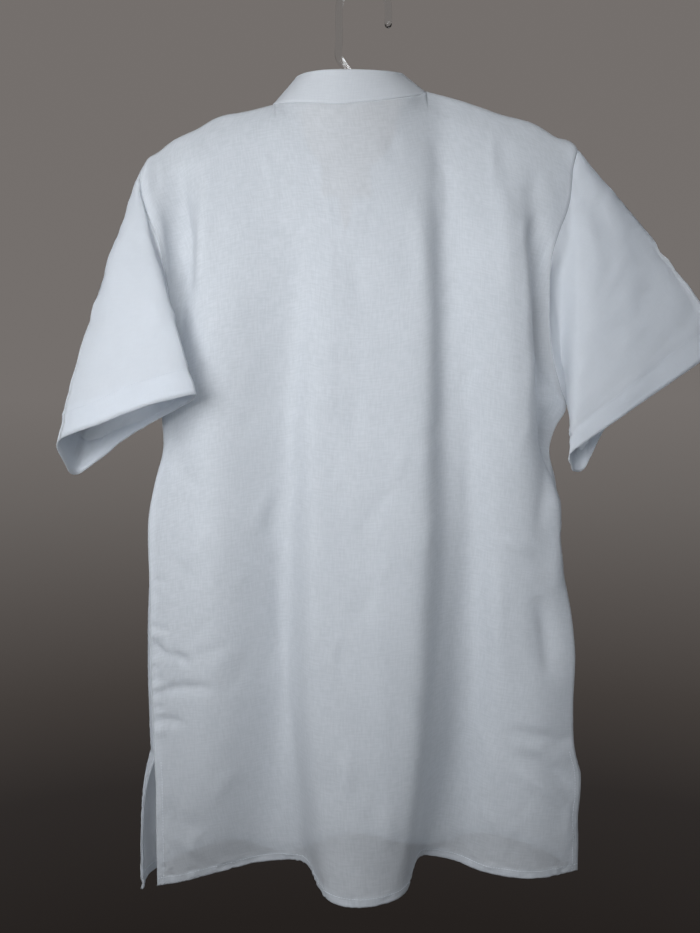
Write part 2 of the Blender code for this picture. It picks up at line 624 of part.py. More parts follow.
def hook_path():
    """Centre of the hook: foot, kink, straight leg, half circle and the short tip."""
    leg_x = HOOK_CENTRE[0] - HOOK_RADIUS
    tip_x = HOOK_CENTRE[0] + HOOK_RADIUS
    turn = np.linspace(np.pi, 0.0, 15)
    arc = np.column_stack([HOOK_CENTRE[0] + HOOK_RADIUS * np.cos(turn),
                           HOOK_CENTRE[1] + HOOK_RADIUS * np.sin(turn)])
    foot = [ARM_TOP, HOOK_FOOT, (leg_x, HOOK_LEG_END), (leg_x, HOOK_LEG_END + HOOK_LEG_RISE)]
    tip = [(tip_x, HOOK_TIP_Z + 0.0015), (tip_x, HOOK_TIP_Z), (tip_x, HOOK_TIP_Z - 0.0025)]
    knots = np.concatenate([foot, arc, tip])
    return knots


def rounded_end(path, radius, at_start, at_end):
    """Radii along a path that close in to a round nose at the ends asked for."""
    walked = np.concatenate([[0.0], np.cumsum(np.linalg.norm(np.diff(path, axis=0), axis=1))])
    radii = np.full(len(path), radius)
    for wanted, away in ((at_start, walked), (at_end, walked[-1] - walked)):
        if wanted:
            reach = np.clip(1.0 - away / radius, 0.0, NOSE_REACH)
            radii = radii * np.sqrt(1.0 - reach**2)
    return radii


def make_hanger(material):
    """Arms and hook, joined into one moulded body."""
    path = arm_path()
    arms = closed_tube("hanger", swept(path, rounded_end(path, ARM_HALF_THICK, True, True),
                                       rounded_end(path, ARM_HALF_HEIGHT, True, True)), material)
    path = hook_path()
    radii = rounded_end(path, ROD_RADIUS, False, True)
    hook = closed_tube("hook_cutter", swept(path, radii, radii), material)
    cutters = bpy.data.collections.new("cutters")
    bpy.context.scene.collection.children.link(cutters)
    collection.objects.unlink(hook)
    cutters.objects.link(hook)
    hook.hide_render = True
    hook.display_type = "WIRE"
    join = arms.modifiers.new("hook", "BOOLEAN")
    join.operation = "UNION"
    join.solver = "EXACT"
    join.object = hook
    return arms


def make_material(name, colour, roughness, transmission=0.0):
    material = bpy.data.materials.new(name)
    material.use_nodes = True
    shader = material.node_tree.nodes["Principled BSDF"]
    shader.inputs["Base Color"].default_value = (*colour, 1.0)
    shader.inputs["Roughness"].default_value = roughness
    shader.inputs["Transmission Weight"].default_value = transmission
    return material


def main():
    linen = make_material("white_linen", (0.78, 0.80, 0.82), 0.85)
    button = make_material("button_white", (0.82, 0.82, 0.80), 0.35)
    clear = make_material("clear_plastic", (0.86, 0.88, 0.90), 0.12, 0.8)

    back = panel(BACK_FOLDS, -1)
    hem = np.zeros(back.shape[:2], bool)
    hem[:2] = True
    wall_object("back_panel", back, linen, thick=hem, wall=HEM_WALL)

    front, keep = front_with_slot()
    hem = np.zeros(front.shape[:2], bool)
    hem[:2] = True
    wall_object("front_panel", front, linen, keep=keep, thick=hem, wall=HEM_WALL, turned=True)

    for name, table, side in (("sleeve_left", SLEEVE_LEFT, -1), ("sleeve_right", SLEEVE_RIGHT, 1)):
        grid, thick = sleeve(table, side, back, front)
        wall_object(name, grid, linen, closed=True, thick=thick, wall=HEM_WALL, turned=side > 0)

    wall_object("collar_band", collar_band(back, front), linen, wall=BAND_WALL)
    under = placket_strip(front, 1, UNDER_LIFT)
    over = placket_strip(front, -1, OVER_LIFT)
    wall_object("placket_under", under, linen)
    wall_object("placket_over", over, linen)
    for number, z in enumerate(BUTTON_Z, start=1):
        strip = under if number == 1 else over
        line = strip[:, BUTTON_COLUMN]
        x, y = through(line[:, 2], line[:, :2], np.array([z]))[0]
        make_button(f"button_{number}", x, y + WALL / 2 + BUTTON_GAP, z, button)
    make_hanger(clear)


for old in list(bpy.data.objects):
    bpy.data.objects.remove(old, do_unlink=True)
collection = bpy.data.collections.new(COLLECTION)
bpy.context.scene.collection.children.link(collection)
main()
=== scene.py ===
# %% [markdown]
# # A white kurta on a clear hanger
# The garment is a short-sleeved kurta of thin slubby cotton and linen, seen from behind. The packed
# model gives each piece as a plain wall at its true place. Here each of them is made again as thin
# cloth with its creases, hems, seams and stitches, and each takes the place of its plain wall.
# Lengths are in metres, +Z is up, +X runs across the shoulders and the garment's back faces -Y.

import bpy
import numpy as np
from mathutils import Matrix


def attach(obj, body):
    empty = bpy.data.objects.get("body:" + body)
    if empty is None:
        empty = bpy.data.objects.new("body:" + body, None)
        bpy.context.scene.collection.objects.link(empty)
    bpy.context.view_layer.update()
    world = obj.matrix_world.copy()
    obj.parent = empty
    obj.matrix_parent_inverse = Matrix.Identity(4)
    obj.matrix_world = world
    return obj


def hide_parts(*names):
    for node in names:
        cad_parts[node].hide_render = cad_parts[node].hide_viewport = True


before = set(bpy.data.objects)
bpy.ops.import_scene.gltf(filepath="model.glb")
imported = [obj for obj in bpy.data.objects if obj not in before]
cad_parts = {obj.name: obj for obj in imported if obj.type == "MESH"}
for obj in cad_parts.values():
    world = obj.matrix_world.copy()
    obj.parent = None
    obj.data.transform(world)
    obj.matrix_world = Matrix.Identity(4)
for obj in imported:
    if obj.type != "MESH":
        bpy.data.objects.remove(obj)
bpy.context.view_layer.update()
print("pieces of the packed model:", ", ".join(sorted(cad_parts)))

# %% [markdown]
# ## Camera, light and floor
# A garment on a wall is photographed level with its middle, so the camera looks straight along +Y.
# A wide soft lamp stands before the shoulders on the left, as a window does, and a weaker one above
# on the right. Both are near, so their light falls off towards the hem. A weak sky light fills the
# shadows. A third lamp stands low on the far side: it shows the front of the garment when the camera
# goes round, and from there it can't shine in at the neck. The backdrop is the sky's own colour,
# which doesn't light the cloth, so that no wall stands in the way of other views.
# Colours go to the screen by the standard curve, because a film curve would flatten white cloth.

# %% Camera
CAMERA_AT = (-0.015, -0.75, -0.516)
LENS_MM = 27.05

lens = bpy.data.cameras.new("camera")
lens.lens = LENS_MM
lens.clip_start = 0.01
camera = bpy.data.objects.new("camera", lens)
camera.location = CAMERA_AT
camera.rotation_euler = (np.pi / 2, 0.0, 0.0)
bpy.context.scene.collection.objects.link(camera)
bpy.context.scene.camera = camera
bpy.context.scene.view_settings.view_transform = "Standard"
print("camera at", CAMERA_AT, "with a lens of", LENS_MM, "mm")


# %% Lamps
DAYLIGHT = (0.945, 0.970, 1.0)


def make_lamp(name, at, towards, size, watts, spread=180.0):
    """A square lamp at one point that faces another, its light held within a spread in degrees."""
    light = bpy.data.lights.new(name, "AREA")
    light.size = size
    light.energy = watts
    light.color = DAYLIGHT
    light.spread = np.radians(spread)
    lamp = bpy.data.objects.new(name, light)
    facing = np.array(towards) - np.array(at)
    across = np.hypot(facing[0], facing[1])
    lamp.location = at
    lamp.rotation_euler = (np.arctan2(across, -facing[2]), 0.0, np.arctan2(-facing[0], facing[1]))
    bpy.context.scene.collection.objects.link(lamp)
    print(name, "shines with", watts, "W")


make_lamp("window", (-0.46, -0.80, -0.28), (0.05, 0.0, -0.40), 0.6, 4.7, 130.0)
make_lamp("room", (0.24, -0.95, 0.02), (0.05, 0.0, -0.36), 0.7, 2.4)
make_lamp("far_side", (0.30, 1.2, -0.95), (0.0, 0.0, -0.50), 1.0, 5.0)

# %% [markdown]
# ## Shader maths as plain arithmetic
# A material is a net of nodes. Written out node by node it hides what it works out, so one small
# class stands for the output of a node. Adding, taking away or multiplying adds a Math node, and any
# other node comes from one method. Numbers alone are still worked out in Python.


# %% The class for a node's output
class Wire:
    """The output of a shader node, on which arithmetic adds Math nodes."""

    def __init__(self, tree, socket=None):
        self.tree = tree
        self.socket = socket

    def node(self, kind, settings=None, inputs=None, out=0):
        """Adds a node, gives it its settings, then its sockets' values or links."""
        made = self.tree.nodes.new(kind)
        for name, value in (settings or {}).items():
            if name == "stops":
                ramp = made.color_ramp.elements
                for place, colour in value[2:]:
                    ramp.new(place)
                for stop, (place, colour) in zip(ramp, value):
                    stop.position = place
                    stop.color = colour
            else:
                setattr(made, name, value)
        for key, value in (inputs or {}).items():
            if isinstance(value, Wire):
                self.tree.links.new(value.socket, made.inputs[key])
            else:
                made.inputs[key].default_value = value
        return Wire(self.tree, made.outputs[out]) if out is not None else self

    def maths(self, operation, *terms, clamp=False):
        """One Math node on wires or numbers."""
        settings = {"operation": operation, "use_clamp": clamp}
        return self.node("ShaderNodeMath", settings, dict(enumerate(terms)))

    def __add__(self, other):
        return self.maths("ADD", self, other)

    def __sub__(self, other):
        return self.maths("SUBTRACT", self, other)

    def __rsub__(self, other):
        return self.maths("SUBTRACT", other, self)

    def __mul__(self, other):
        return self.maths("MULTIPLY", self, other)

    __radd__ = __add__
    __rmul__ = __mul__

    def sin(self):
        return self.maths("SINE", self)

    def held(self):
        """The value kept between 0 and 1."""
        return self.maths("ADD", self, 0.0, clamp=True)

    def mixed(self, low, high):
        """A colour between two others, low where this is 0 and high where it is 1."""
        return self.node("ShaderNodeMix", {"data_type": "RGBA"}, {0: self, 6: low, 7: high}, out=2)


def new_material(name):
    """An empty material and the wire that its nodes start from."""
    material = bpy.data.materials.new(name)
    material.use_nodes = True
    material.node_tree.nodes.clear()
    return material, Wire(material.node_tree)


# %% [markdown]
# ## Backdrop and floor
# The backdrop is a taupe that darkens downwards: painted shade, for light that falls off down a wall.
# The camera sees it, straight and through the clear plastic, while the rays that light the cloth get
# an even pale grey. The floor is a pale disc, far enough below the hem to stay out of the main view.

# %% Backdrop
# Painted shade: the taupe darkens from top to bottom, as light falls off down a wall.
BACKDROP_PAINTED_SHADE = [
    (0.230, (0.0185, 0.0152, 0.0137, 1.0)),
    (0.300, (0.0280, 0.0240, 0.0225, 1.0)),
    (0.354, (0.0560, 0.0480, 0.0435, 1.0)),
    (0.414, (0.0950, 0.0840, 0.0780, 1.0)),
    (0.478, (0.1400, 0.1270, 0.1190, 1.0)),
    (0.543, (0.1780, 0.1620, 0.1530, 1.0)),
    (0.740, (0.1760, 0.1600, 0.1510, 1.0)),
]
FILL = (0.80, 0.85, 0.92, 1.0)
FILL_STRENGTH = 0.06

world = bpy.data.worlds.new("studio")
world.use_nodes = True
world.node_tree.nodes.clear()
sky = Wire(world.node_tree)
direction = sky.node("ShaderNodeTexCoord", out="Generated")
height = sky.node("ShaderNodeSeparateXYZ", {}, {0: direction}, out="Z")
wall = sky.node("ShaderNodeValToRGB", {"stops": BACKDROP_PAINTED_SHADE}, {0: height * 0.5 + 0.5})
seen = sky.node("ShaderNodeLightPath", out="Is Camera Ray")
bent = sky.node("ShaderNodeLightPath", out="Is Glossy Ray")
seen = seen.maths("MAXIMUM", seen, bent)
lit = sky.node("ShaderNodeBackground", {}, {"Color": FILL, "Strength": FILL_STRENGTH})
shown = sky.node("ShaderNodeBackground", {}, {"Color": wall, "Strength": 1.0})
both = sky.node("ShaderNodeMixShader", {}, {0: seen, 1: lit, 2: shown})
sky.node("ShaderNodeOutputWorld", {}, {"Surface": both}, out=None)
bpy.context.scene.world = world

# %% Floor
FLOOR_Z = -2.0
FLOOR_RADIUS = 1.25
FLOOR_SIDES = 96

turn = np.linspace(0.0, 2 * np.pi, FLOOR_SIDES, endpoint=False)
level = np.full(FLOOR_SIDES, FLOOR_Z)
rim = np.column_stack([FLOOR_RADIUS * np.cos(turn), FLOOR_RADIUS * np.sin(turn), level])
mesh = bpy.data.meshes.new("floor")
mesh.from_pydata(rim.tolist(), [], [list(range(FLOOR_SIDES))])
floor = bpy.data.objects.new("floor", mesh)
bpy.context.scene.collection.objects.link(floor)
pale, start = new_material("floor_pale")
matt = start.node("ShaderNodeBsdfPrincipled", {}, {"Base Color": (0.62, 0.61, 0.60, 1.0), "Roughness": 0.9})
start.node("ShaderNodeOutputMaterial", {}, {"Surface": matt}, out=None)
mesh.materials.append(pale)
print("floor at", FLOOR_Z)

# %% [markdown]
# ## The cloth's finish
# The cloth is a plain weave of cotton and linen yarns. Linen yarn is uneven: thick slubs run for a few
# centimetres along the warp and along the weft, and between them the weave is open enough to see
# through. So the finish has two sets of long streaks, one for each direction, which make the cloth
# whiter and denser where they are thick. The weave itself is finer than a pixel and is left to the
# bump. Every piece carries a UV map in metres along its own warp and weft, so the pattern turns
# with the cloth. Thin cloth passes light on, so a share of a Translucent shader is mixed in. The back
# is also a little see-through, and the collar, of two layers, passes on less than the sleeves do.
# The collar and placket cloth is painted a darker white than the rest: painted shade, because the
# two-layer collar takes less light.

# %% Cloth material
CLOTH_THICK = 0.0005
YARNS_PER_METRE = 1100.0
SLUB_WIDTHS_PER_METRE = 640.0
SLUB_LENGTHS_PER_METRE = 75.0
CLOUDS_PER_METRE = (26.0, 20.0)
LINEN_DENSE = (0.850, 0.875, 0.905, 1.0)
LINEN_OPEN = (0.800, 0.825, 0.858, 1.0)
PASSED_ON = (0.90, 0.92, 0.945, 1.0)
BRIGHT_DENSE = (0.905, 0.925, 0.950, 1.0)
BRIGHT_OPEN = (0.860, 0.880, 0.908, 1.0)
# Painted shade: darker tones for the collar and placket cloth, as the two-layer collar is less lit.
SHADED_FACED_DENSE = (0.735, 0.755, 0.780, 1.0)
SHADED_FACED_OPEN = (0.680, 0.700, 0.728, 1.0)
LEAST_COVER = 0.39
MOST_COVER = 0.45


def make_linen(name, light_through, open_tone, dense_tone, sheer=False):
    """The cloth's finish: slubs both ways, weave in the bump, part of the light passed through."""
    material, start = new_material(name)
    place = start.node("ShaderNodeUVMap", {"uv_map": "cloth"})

    def streaks(across, along, rough):
        """Noise with that many grains to the metre across and along."""
        stretched = start.node("ShaderNodeMapping", {}, {"Vector": place, "Scale": (across, along, 1.0)})
        values = {"Vector": stretched, "Scale": 1.0, "Detail": 1.0, "Roughness": rough}
        return start.node("ShaderNodeTexNoise", {"noise_dimensions": "2D"}, values)

    warp = streaks(SLUB_WIDTHS_PER_METRE, SLUB_LENGTHS_PER_METRE, 0.62)
    weft = streaks(SLUB_LENGTHS_PER_METRE, SLUB_WIDTHS_PER_METRE, 0.62)
    slubs = ((warp + weft - 1.0) * 1.7 + 0.5).held()
    clouds = streaks(*CLOUDS_PER_METRE, 0.5)
    dense = (slubs * 0.8 + clouds * 0.6 - 0.2).held()
    u = start.node("ShaderNodeSeparateXYZ", {}, {0: place}, out="X")
    v = start.node("ShaderNodeSeparateXYZ", {}, {0: place}, out="Y")
    weave = (u * (np.pi * YARNS_PER_METRE)).sin() * (v * (np.pi * YARNS_PER_METRE)).sin()
    height = weave * 0.3 + slubs
    normal = start.node("ShaderNodeBump", {}, {"Height": height, "Strength": 0.25, "Distance": 0.0004})
    colour = dense.mixed(open_tone, dense_tone)
    values = {"Base Color": colour, "Roughness": 0.85, "Normal": normal,
              "Sheen Weight": 0.15, "Sheen Roughness": 0.5, "Specular IOR Level": 0.3}
    if sheer:
        values["Alpha"] = dense * (MOST_COVER - LEAST_COVER) + LEAST_COVER
    yarn = start.node("ShaderNodeBsdfPrincipled", {}, values)
    through_it = start.node("ShaderNodeBsdfTranslucent", {}, {"Color": PASSED_ON})
    cloth = start.node("ShaderNodeMixShader", {}, {0: light_through, 1: yarn, 2: through_it})
    start.node("ShaderNodeOutputMaterial", {}, {"Surface": cloth}, out=None)
    return material


sheer_linen = make_linen("sheer_linen", 0.16, LINEN_OPEN, LINEN_DENSE, sheer=True)
linen = make_linen("white_linen", 0.60, BRIGHT_OPEN, BRIGHT_DENSE)
# The collar and placket cloth carries painted shade in its darker tones.
shaded_faced_linen = make_linen("shaded_faced_linen", 0.34, SHADED_FACED_OPEN, SHADED_FACED_DENSE)
print("cloth materials:", ", ".join(each.name for each in (sheer_linen, linen, shaded_faced_linen)))


# %% Thread, button and plastic materials
def make_thread():
    """Polyester sewing thread: white, with a faint twist."""
    material, start = new_material("white_thread")
    place = start.node("ShaderNodeTexCoord", out="Object")
    twist = start.node("ShaderNodeTexNoise", {}, {"Vector": place, "Scale": 1500.0, "Detail": 1.0})
    colour = twist.mixed((0.70, 0.74, 0.79, 1.0), (0.90, 0.93, 0.96, 1.0))
    thread = start.node("ShaderNodeBsdfPrincipled", {}, {"Base Color": colour, "Roughness": 0.55})
    start.node("ShaderNodeOutputMaterial", {}, {"Surface": thread}, out=None)
    return material


def make_pearl():
    """Moulded shirt button: polished, with a faint clouded swirl as in imitation pearl."""
    material, start = new_material("button_pearl")
    place = start.node("ShaderNodeTexCoord", out="Object")
    bands = {"Vector": place, "Scale": 260.0, "Distortion": 6.0, "Detail": 2.0}
    swirl = start.node("ShaderNodeTexWave", {"bands_direction": "X"}, bands)
    colour = swirl.mixed((0.72, 0.71, 0.67, 1.0), (0.90, 0.89, 0.86, 1.0))
    shine = swirl * 0.12 + 0.16
    values = {"Base Color": colour, "Roughness": shine, "Coat Weight": 0.4, "Coat Roughness": 0.08}
    button = start.node("ShaderNodeBsdfPrincipled", {}, values)
    start.node("ShaderNodeOutputMaterial", {}, {"Surface": button}, out=None)
    return material


def make_clear():
    """Clear polystyrene: glass-like, faintly grey, with the fine scuffs of a used hanger."""
    material, start = new_material("clear_plastic")
    place = start.node("ShaderNodeTexCoord", out="Object")
    scuffs = start.node("ShaderNodeTexNoise", {}, {"Vector": place, "Scale": 420.0, "Detail": 4.0})
    shine = (scuffs * 0.35 - 0.10).held()
    bump = {"Height": scuffs, "Strength": 0.12, "Distance": 0.0003}
    normal = start.node("ShaderNodeBump", {}, bump)
    values = {"Base Color": (0.93, 0.95, 0.96, 1.0), "Roughness": shine, "Normal": normal,
              "Transmission Weight": 1.0, "IOR": 1.49}
    plastic = start.node("ShaderNodeBsdfPrincipled", {}, values)
    start.node("ShaderNodeOutputMaterial", {}, {"Surface": plastic}, out=None)
    return material


thread = make_thread()
pearl = make_pearl()
clear = make_clear()

# %% [markdown]
# ## The garment's measures
# Two kinds of table hold the shape. One gives the seams: the shoulders as x and height, and the sides
# from the hem to the shoulder as height, x and depth. The other gives the folds that hang from the
# shoulders: one row for each ridge and valley, with its place at five heights. They are the
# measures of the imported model, so that the cloth lies where its walls do.

# %% Heights, neck, placket and shoulder tips
HEM_Z, SLIT_Z, WAIST_Z, CHEST_Z, YOKE_Z = -0.937, -0.815, -0.640, -0.470, -0.290
SHOULDER_ROLL = 0.0075
SIDE_SEAM_X, SIDE_SEAM_Y = 0.0006, 0.0017
SEAM_GAP = 0.0006
NECK_X, NECK_LOW_X = -0.0155, -0.030
NECK_LEFT, NECK_RIGHT = (-0.096, -0.130), (0.065, -0.116)
NECK_BACK, NECK_FRONT = (-0.045, -0.1505), (0.052, -0.215)
NECK_BACK_POWER = 0.8
BAND_LEAN, BAND_DEPTH, BAND_THICK = 0.685, 0.90, 0.0014
BAND_TOP_BACK, BAND_TOP_LEFT, BAND_TOP_RIGHT, BAND_TOP_FRONT = -0.1140, -0.1005, -0.0965, -0.1830
PLACKET_X, PLACKET_HALF, PLACKET_LAP = -0.020, 0.012, 0.002
PLACKET_END_Z, PLACKET_OPEN_Z, PLACKET_OPEN_HALF = -0.455, -0.268, 0.017
TIP_LEFT, TIP_RIGHT = (-0.2375, -0.2009), (0.2268, -0.1774)
UNDERARM_Z = {-1: -0.435, 1: -0.452}
UNDERARM_CLEAR = 0.004

SHOULDER_LEFT = np.array([
    (-0.2375, -0.2009), (-0.2297, -0.1881), (-0.2183, -0.1806), (-0.2059, -0.1703),
    (-0.1772, -0.1560), (-0.1594, -0.1453), (-0.1220, -0.1367), (-0.0960, -0.1300),
])
SHOULDER_RIGHT = np.array([
    (0.0650, -0.1160), (0.1027, -0.1260), (0.1455, -0.1408), (0.1844, -0.1525),
    (0.2025, -0.1641), (0.2257, -0.1758), (0.2268, -0.1774),
])

# %% Sides of the back, hem to shoulder tip: z, x, y
SIDES = {
    -1: np.array([
        (-0.937, -0.2087, -0.0448), (-0.887, -0.2099, -0.0450), (-0.842, -0.2114, -0.0420),
        (-0.812, -0.2134, -0.0390), (-0.775, -0.2160, -0.0350), (-0.742, -0.2182, -0.0330),
        (-0.703, -0.2200, -0.0300), (-0.672, -0.2210, -0.0280), (-0.638, -0.2215, -0.0260),
        (-0.606, -0.2240, -0.0220), (-0.571, -0.2250, -0.0180), (-0.533, -0.2196, -0.0130),
        (-0.497, -0.2120, -0.0090), (-0.467, -0.2140, -0.0060), (-0.435, -0.2180, -0.0050),
        (-0.415, -0.2090, -0.0150), (-0.380, -0.2010, -0.0290), (-0.337, -0.2003, -0.0350),
        (-0.309, -0.2057, -0.0340), (-0.282, -0.2128, -0.0300), (-0.263, -0.2208, -0.0260),
        (-0.245, -0.2295, -0.0200), (-0.219, -0.2350, -0.0120), (-0.2009, -0.2375, 0.0),
    ]),
    1: np.array([
        (-0.937, 0.2222, -0.0186), (-0.903, 0.2224, -0.0200), (-0.882, 0.2215, -0.0210),
        (-0.839, 0.2249, -0.0200), (-0.810, 0.2186, -0.0200), (-0.770, 0.2175, -0.0190),
        (-0.707, 0.2200, -0.0170), (-0.675, 0.2174, -0.0150), (-0.624, 0.2080, -0.0140),
        (-0.592, 0.2015, -0.0130), (-0.564, 0.2044, -0.0120), (-0.532, 0.2017, -0.0100),
        (-0.495, 0.1959, -0.0080), (-0.474, 0.2030, -0.0060), (-0.452, 0.2150, -0.0050),
        (-0.435, 0.2070, -0.0130), (-0.408, 0.1965, -0.0230), (-0.376, 0.1901, -0.0290),
        (-0.339, 0.1895, -0.0310), (-0.300, 0.1931, -0.0280), (-0.274, 0.2014, -0.0240),
        (-0.248, 0.2120, -0.0200), (-0.195, 0.2215, -0.0090), (-0.1774, 0.2268, 0.0),
    ]),
}
FRONT_SLIT_LEFT = np.array([
    (-0.937, -0.2238, -0.0520), (-0.910, -0.2264, -0.0480), (-0.880, -0.2252, -0.0440),
    (-0.854, -0.2242, -0.0410), (-0.835, -0.2212, -0.0395), (-0.815, -0.2150, -0.0375),
])

# %% Folds of the back and the front: share of the width, then x and y at five heights, then steps
FOLDS = ["across", "hem_x", "hem_y", "slit_x", "slit_y", "waist_x", "waist_y",
         "chest_x", "chest_y", "yoke_x", "yoke_y", "steps"]
BACK_FOLDS = {
    "side_left":   (0.000, -.2087, -.0448, -.2134, -.0390, -.2215, -.0260, -.214, -.006, -.212, -.030, 3),
    "hollow_left": (0.050, -.1880, -.0400, -.1900, -.0400, -.1980, -.0330, -.194, -.019, -.194, -.024, 3),
    "ridge_left":  (0.110, -.1620, -.0270, -.1560, -.0420, -.1600, -.0480, -.164, -.044, -.166, -.042, 4),
    "valley_left": (0.240, -.0960, 0.0000, -.0860, -.0100, -.0800, -.0170, -.077, -.027, -.076, -.036, 4),
    "wall_left":   (0.315, -.0590, -.0050, -.0680, -.0260, -.0690, -.0330, -.066, -.038, -.060, -.041, 3),
    "brow_left":   (0.400, -.0430, -.0640, -.0520, -.0580, -.0540, -.0560, -.050, -.053, -.042, -.048, 4),
    "crest":       (0.480, -.0060, -.0816, -.0120, -.0700, -.0120, -.0620, -.006, -.056, -.002, -.052, 4),
    "brow_right":  (0.570, 0.0440, -.0550, 0.0530, -.0600, 0.0570, -.0600, 0.059, -.056, 0.060, -.050, 3),
    "wall_right":  (0.650, 0.0545, 0.0080, 0.0710, -.0240, 0.0780, -.0360, 0.080, -.042, 0.076, -.040, 3),
    "valley_right": (0.690, 0.0680, 0.0090, 0.0980, -.0060, 0.1060, -.0200, 0.100, -.031, 0.090, -.034, 4),
    "slope_right": (0.790, 0.1200, -.0215, 0.1310, -.0260, 0.1340, -.0350, 0.126, -.043, 0.118, -.045, 4),
    "ridge_right": (0.890, 0.1700, -.0340, 0.1740, -.0360, 0.1740, -.0320, 0.160, -.046, 0.152, -.050, 4),
    "side_right":  (1.000, 0.2222, -.0186, 0.2186, -.0200, 0.2100, -.0140, 0.202, -.006, 0.196, -.027, 0),
}
FRONT_FOLDS = {
    "side_left":   (0.000, -.2238, -.0520, -.2150, -.0375, -.2220, -.0245, -.215, -.004, -.212, 0.030, 2),
    "wrap_left":   (0.030, -.2255, -.0300, -.2230, -.0200, -.2262, -.0100, -.212, 0.008, -.206, 0.031, 2),
    "hollow_left": (0.090, -.2080, 0.0000, -.2080, 0.0060, -.2020, 0.0100, -.192, 0.022, -.188, 0.031, 3),
    "ridge_left":  (0.200, -.1470, 0.0420, -.1500, 0.0380, -.1500, 0.0340, -.144, 0.036, -.142, 0.034, 3),
    "valley_left": (0.320, -.0860, 0.0180, -.0860, 0.0200, -.0840, 0.0240, -.086, 0.030, -.082, 0.036, 3),
    "slot_left":   (0.430, -.0320, 0.0480, -.0320, 0.0450, -.0320, 0.0440, -.032, 0.046, -.032, 0.051, 1),
    "centre":      (0.470, -.0200, 0.0540, -.0200, 0.0500, -.0200, 0.0475, -.020, 0.048, -.020, 0.052, 1),
    "slot_right":  (0.510, -.0080, 0.0560, -.0080, 0.0510, -.0080, 0.0480, -.008, 0.048, -.008, 0.051, 3),
    "valley_right": (0.650, 0.0640, 0.0300, 0.0600, 0.0280, 0.0580, 0.0280, 0.060, 0.034, 0.056, 0.040, 3),
    "ridge_right": (0.800, 0.1360, 0.0560, 0.1340, 0.0460, 0.1300, 0.0400, 0.126, 0.036, 0.124, 0.036, 3),
    "hollow_right": (0.920, 0.1930, 0.0240, 0.1900, 0.0180, 0.1840, 0.0140, 0.180, 0.018, 0.176, 0.030, 3),
    "side_right":  (1.000, 0.2216, -.0170, 0.2180, -.0180, 0.2095, -.0120, 0.202, -.004, 0.194, 0.028, 0),
}
NECK_FOLDS = {-1: ("wall_left", "crest", "wall_right"), 1: ("valley_left", "centre", "valley_right")}

# %% Lines of the sleeves: height at the armhole, then place at mid sleeve and at the cuff
SLEEVE_LEFT = {
    "top":        (-.2009, -.2765, -.030, -.3450, -.3043, -.055, -.4907),
    "near_high":  (-.2080, -.2520, -.048, -.3430, -.2650, -.074, -.4780),
    "near_mid":   (-.2200, -.2260, -.057, -.3410, -.2130, -.083, -.4600),
    "inner_fold": (-.2350, -.1985, -.056, -.3410, -.1641, -.080, -.4467),
    "valley":     (-.3000, -.1960, -.043, -.3750, -.1710, -.062, -.4520),
    "under":      (-.3700, -.2000, -.037, -.4150, -.1880, -.046, -.4580),
    "underarm":   (-.4350, -.2130, -.031, -.4450, -.2120, -.035, -.4686),
    "far_low":    (-.3900, -.2360, 0.004, -.4300, -.2500, -.020, -.4880),
    "far_mid":    (-.3100, -.2580, 0.016, -.3900, -.3020, -.010, -.5240),
    "far_high":   (-.2400, -.2740, 0.002, -.3600, -.3085, -.032, -.5100),
}
SLEEVE_RIGHT = {
    "top":        (-.1774, 0.3048, -.012, -.2791, 0.3712, -.030, -.3902),
    "near_high":  (-.1850, 0.2800, -.032, -.3120, 0.3042, -.046, -.4337),
    "near_mid":   (-.1960, 0.2480, -.043, -.3540, 0.2480, -.055, -.4715),
    "inner_fold": (-.2150, 0.2160, -.045, -.3950, 0.2057, -.050, -.5025),
    "valley":     (-.2800, 0.2080, -.024, -.3950, 0.2090, -.042, -.5150),
    "under":      (-.3600, 0.2120, -.015, -.4300, 0.2160, -.034, -.5210),
    "underarm":   (-.4520, 0.2300, -.006, -.4550, 0.2290, -.026, -.5150),
    "far_low":    (-.3900, 0.2500, 0.010, -.4100, 0.2560, -.018, -.4700),
    "far_mid":    (-.3000, 0.2700, 0.014, -.3500, 0.3020, -.014, -.4350),
    "far_high":   (-.2200, 0.2920, 0.006, -.3050, 0.3480, -.014, -.4040),
}

# %% [markdown]
# ## Smooth curves through measured points
# Every outline and fold is a smooth curve through a few measured points. A cubic Hermite curve goes
# through each of them and bends no more than it has to.


# %% Curves
def through(knots, values, at):
    """A smooth curve through values at rising knots, read at the given places.

    Between two knots it is the cubic whose ends have the weighted mean slope of their neighbours.
    """
    knots = np.asarray(knots, float)
    values = np.asarray(values, float)
    at = np.asarray(at, float)
    if values.ndim > 1:
        return np.stack([through(knots, column, at) for column in values.T], axis=-1)
    gap = np.diff(knots)
    rise = np.diff(values) / gap
    slope = np.empty(len(knots))
    slope[0] = rise[0]
    slope[-1] = rise[-1]
    slope[1:-1] = (rise[:-1] * gap[1:] + rise[1:] * gap[:-1]) / (gap[:-1] + gap[1:])
    i = np.clip(np.searchsorted(knots, at, side="right") - 1, 0, len(knots) - 2)
    t = (at - knots[i]) / gap[i]
    begin = values[i] * (2 * t**3 - 3 * t**2 + 1) + slope[i] * gap[i] * (t**3 - 2 * t**2 + t)
    end = values[i + 1] * (3 * t**2 - 2 * t**3) + slope[i + 1] * gap[i] * (t**3 - t**2)
    return begin + end


def ease(t):
    """Rises from 0 to 1 with flat ends: three t squared less two t cubed."""
    t = np.clip(t, 0.0, 1.0)
    return t * t * (3.0 - 2.0 * t)


def walked(points):
    """Length along each line of points, from its first point, along the first axis."""
    steps = np.linalg.norm(np.diff(points, axis=0), axis=-1)
    return np.concatenate([np.zeros((1,) + steps.shape[1:]), np.cumsum(steps, axis=0)])


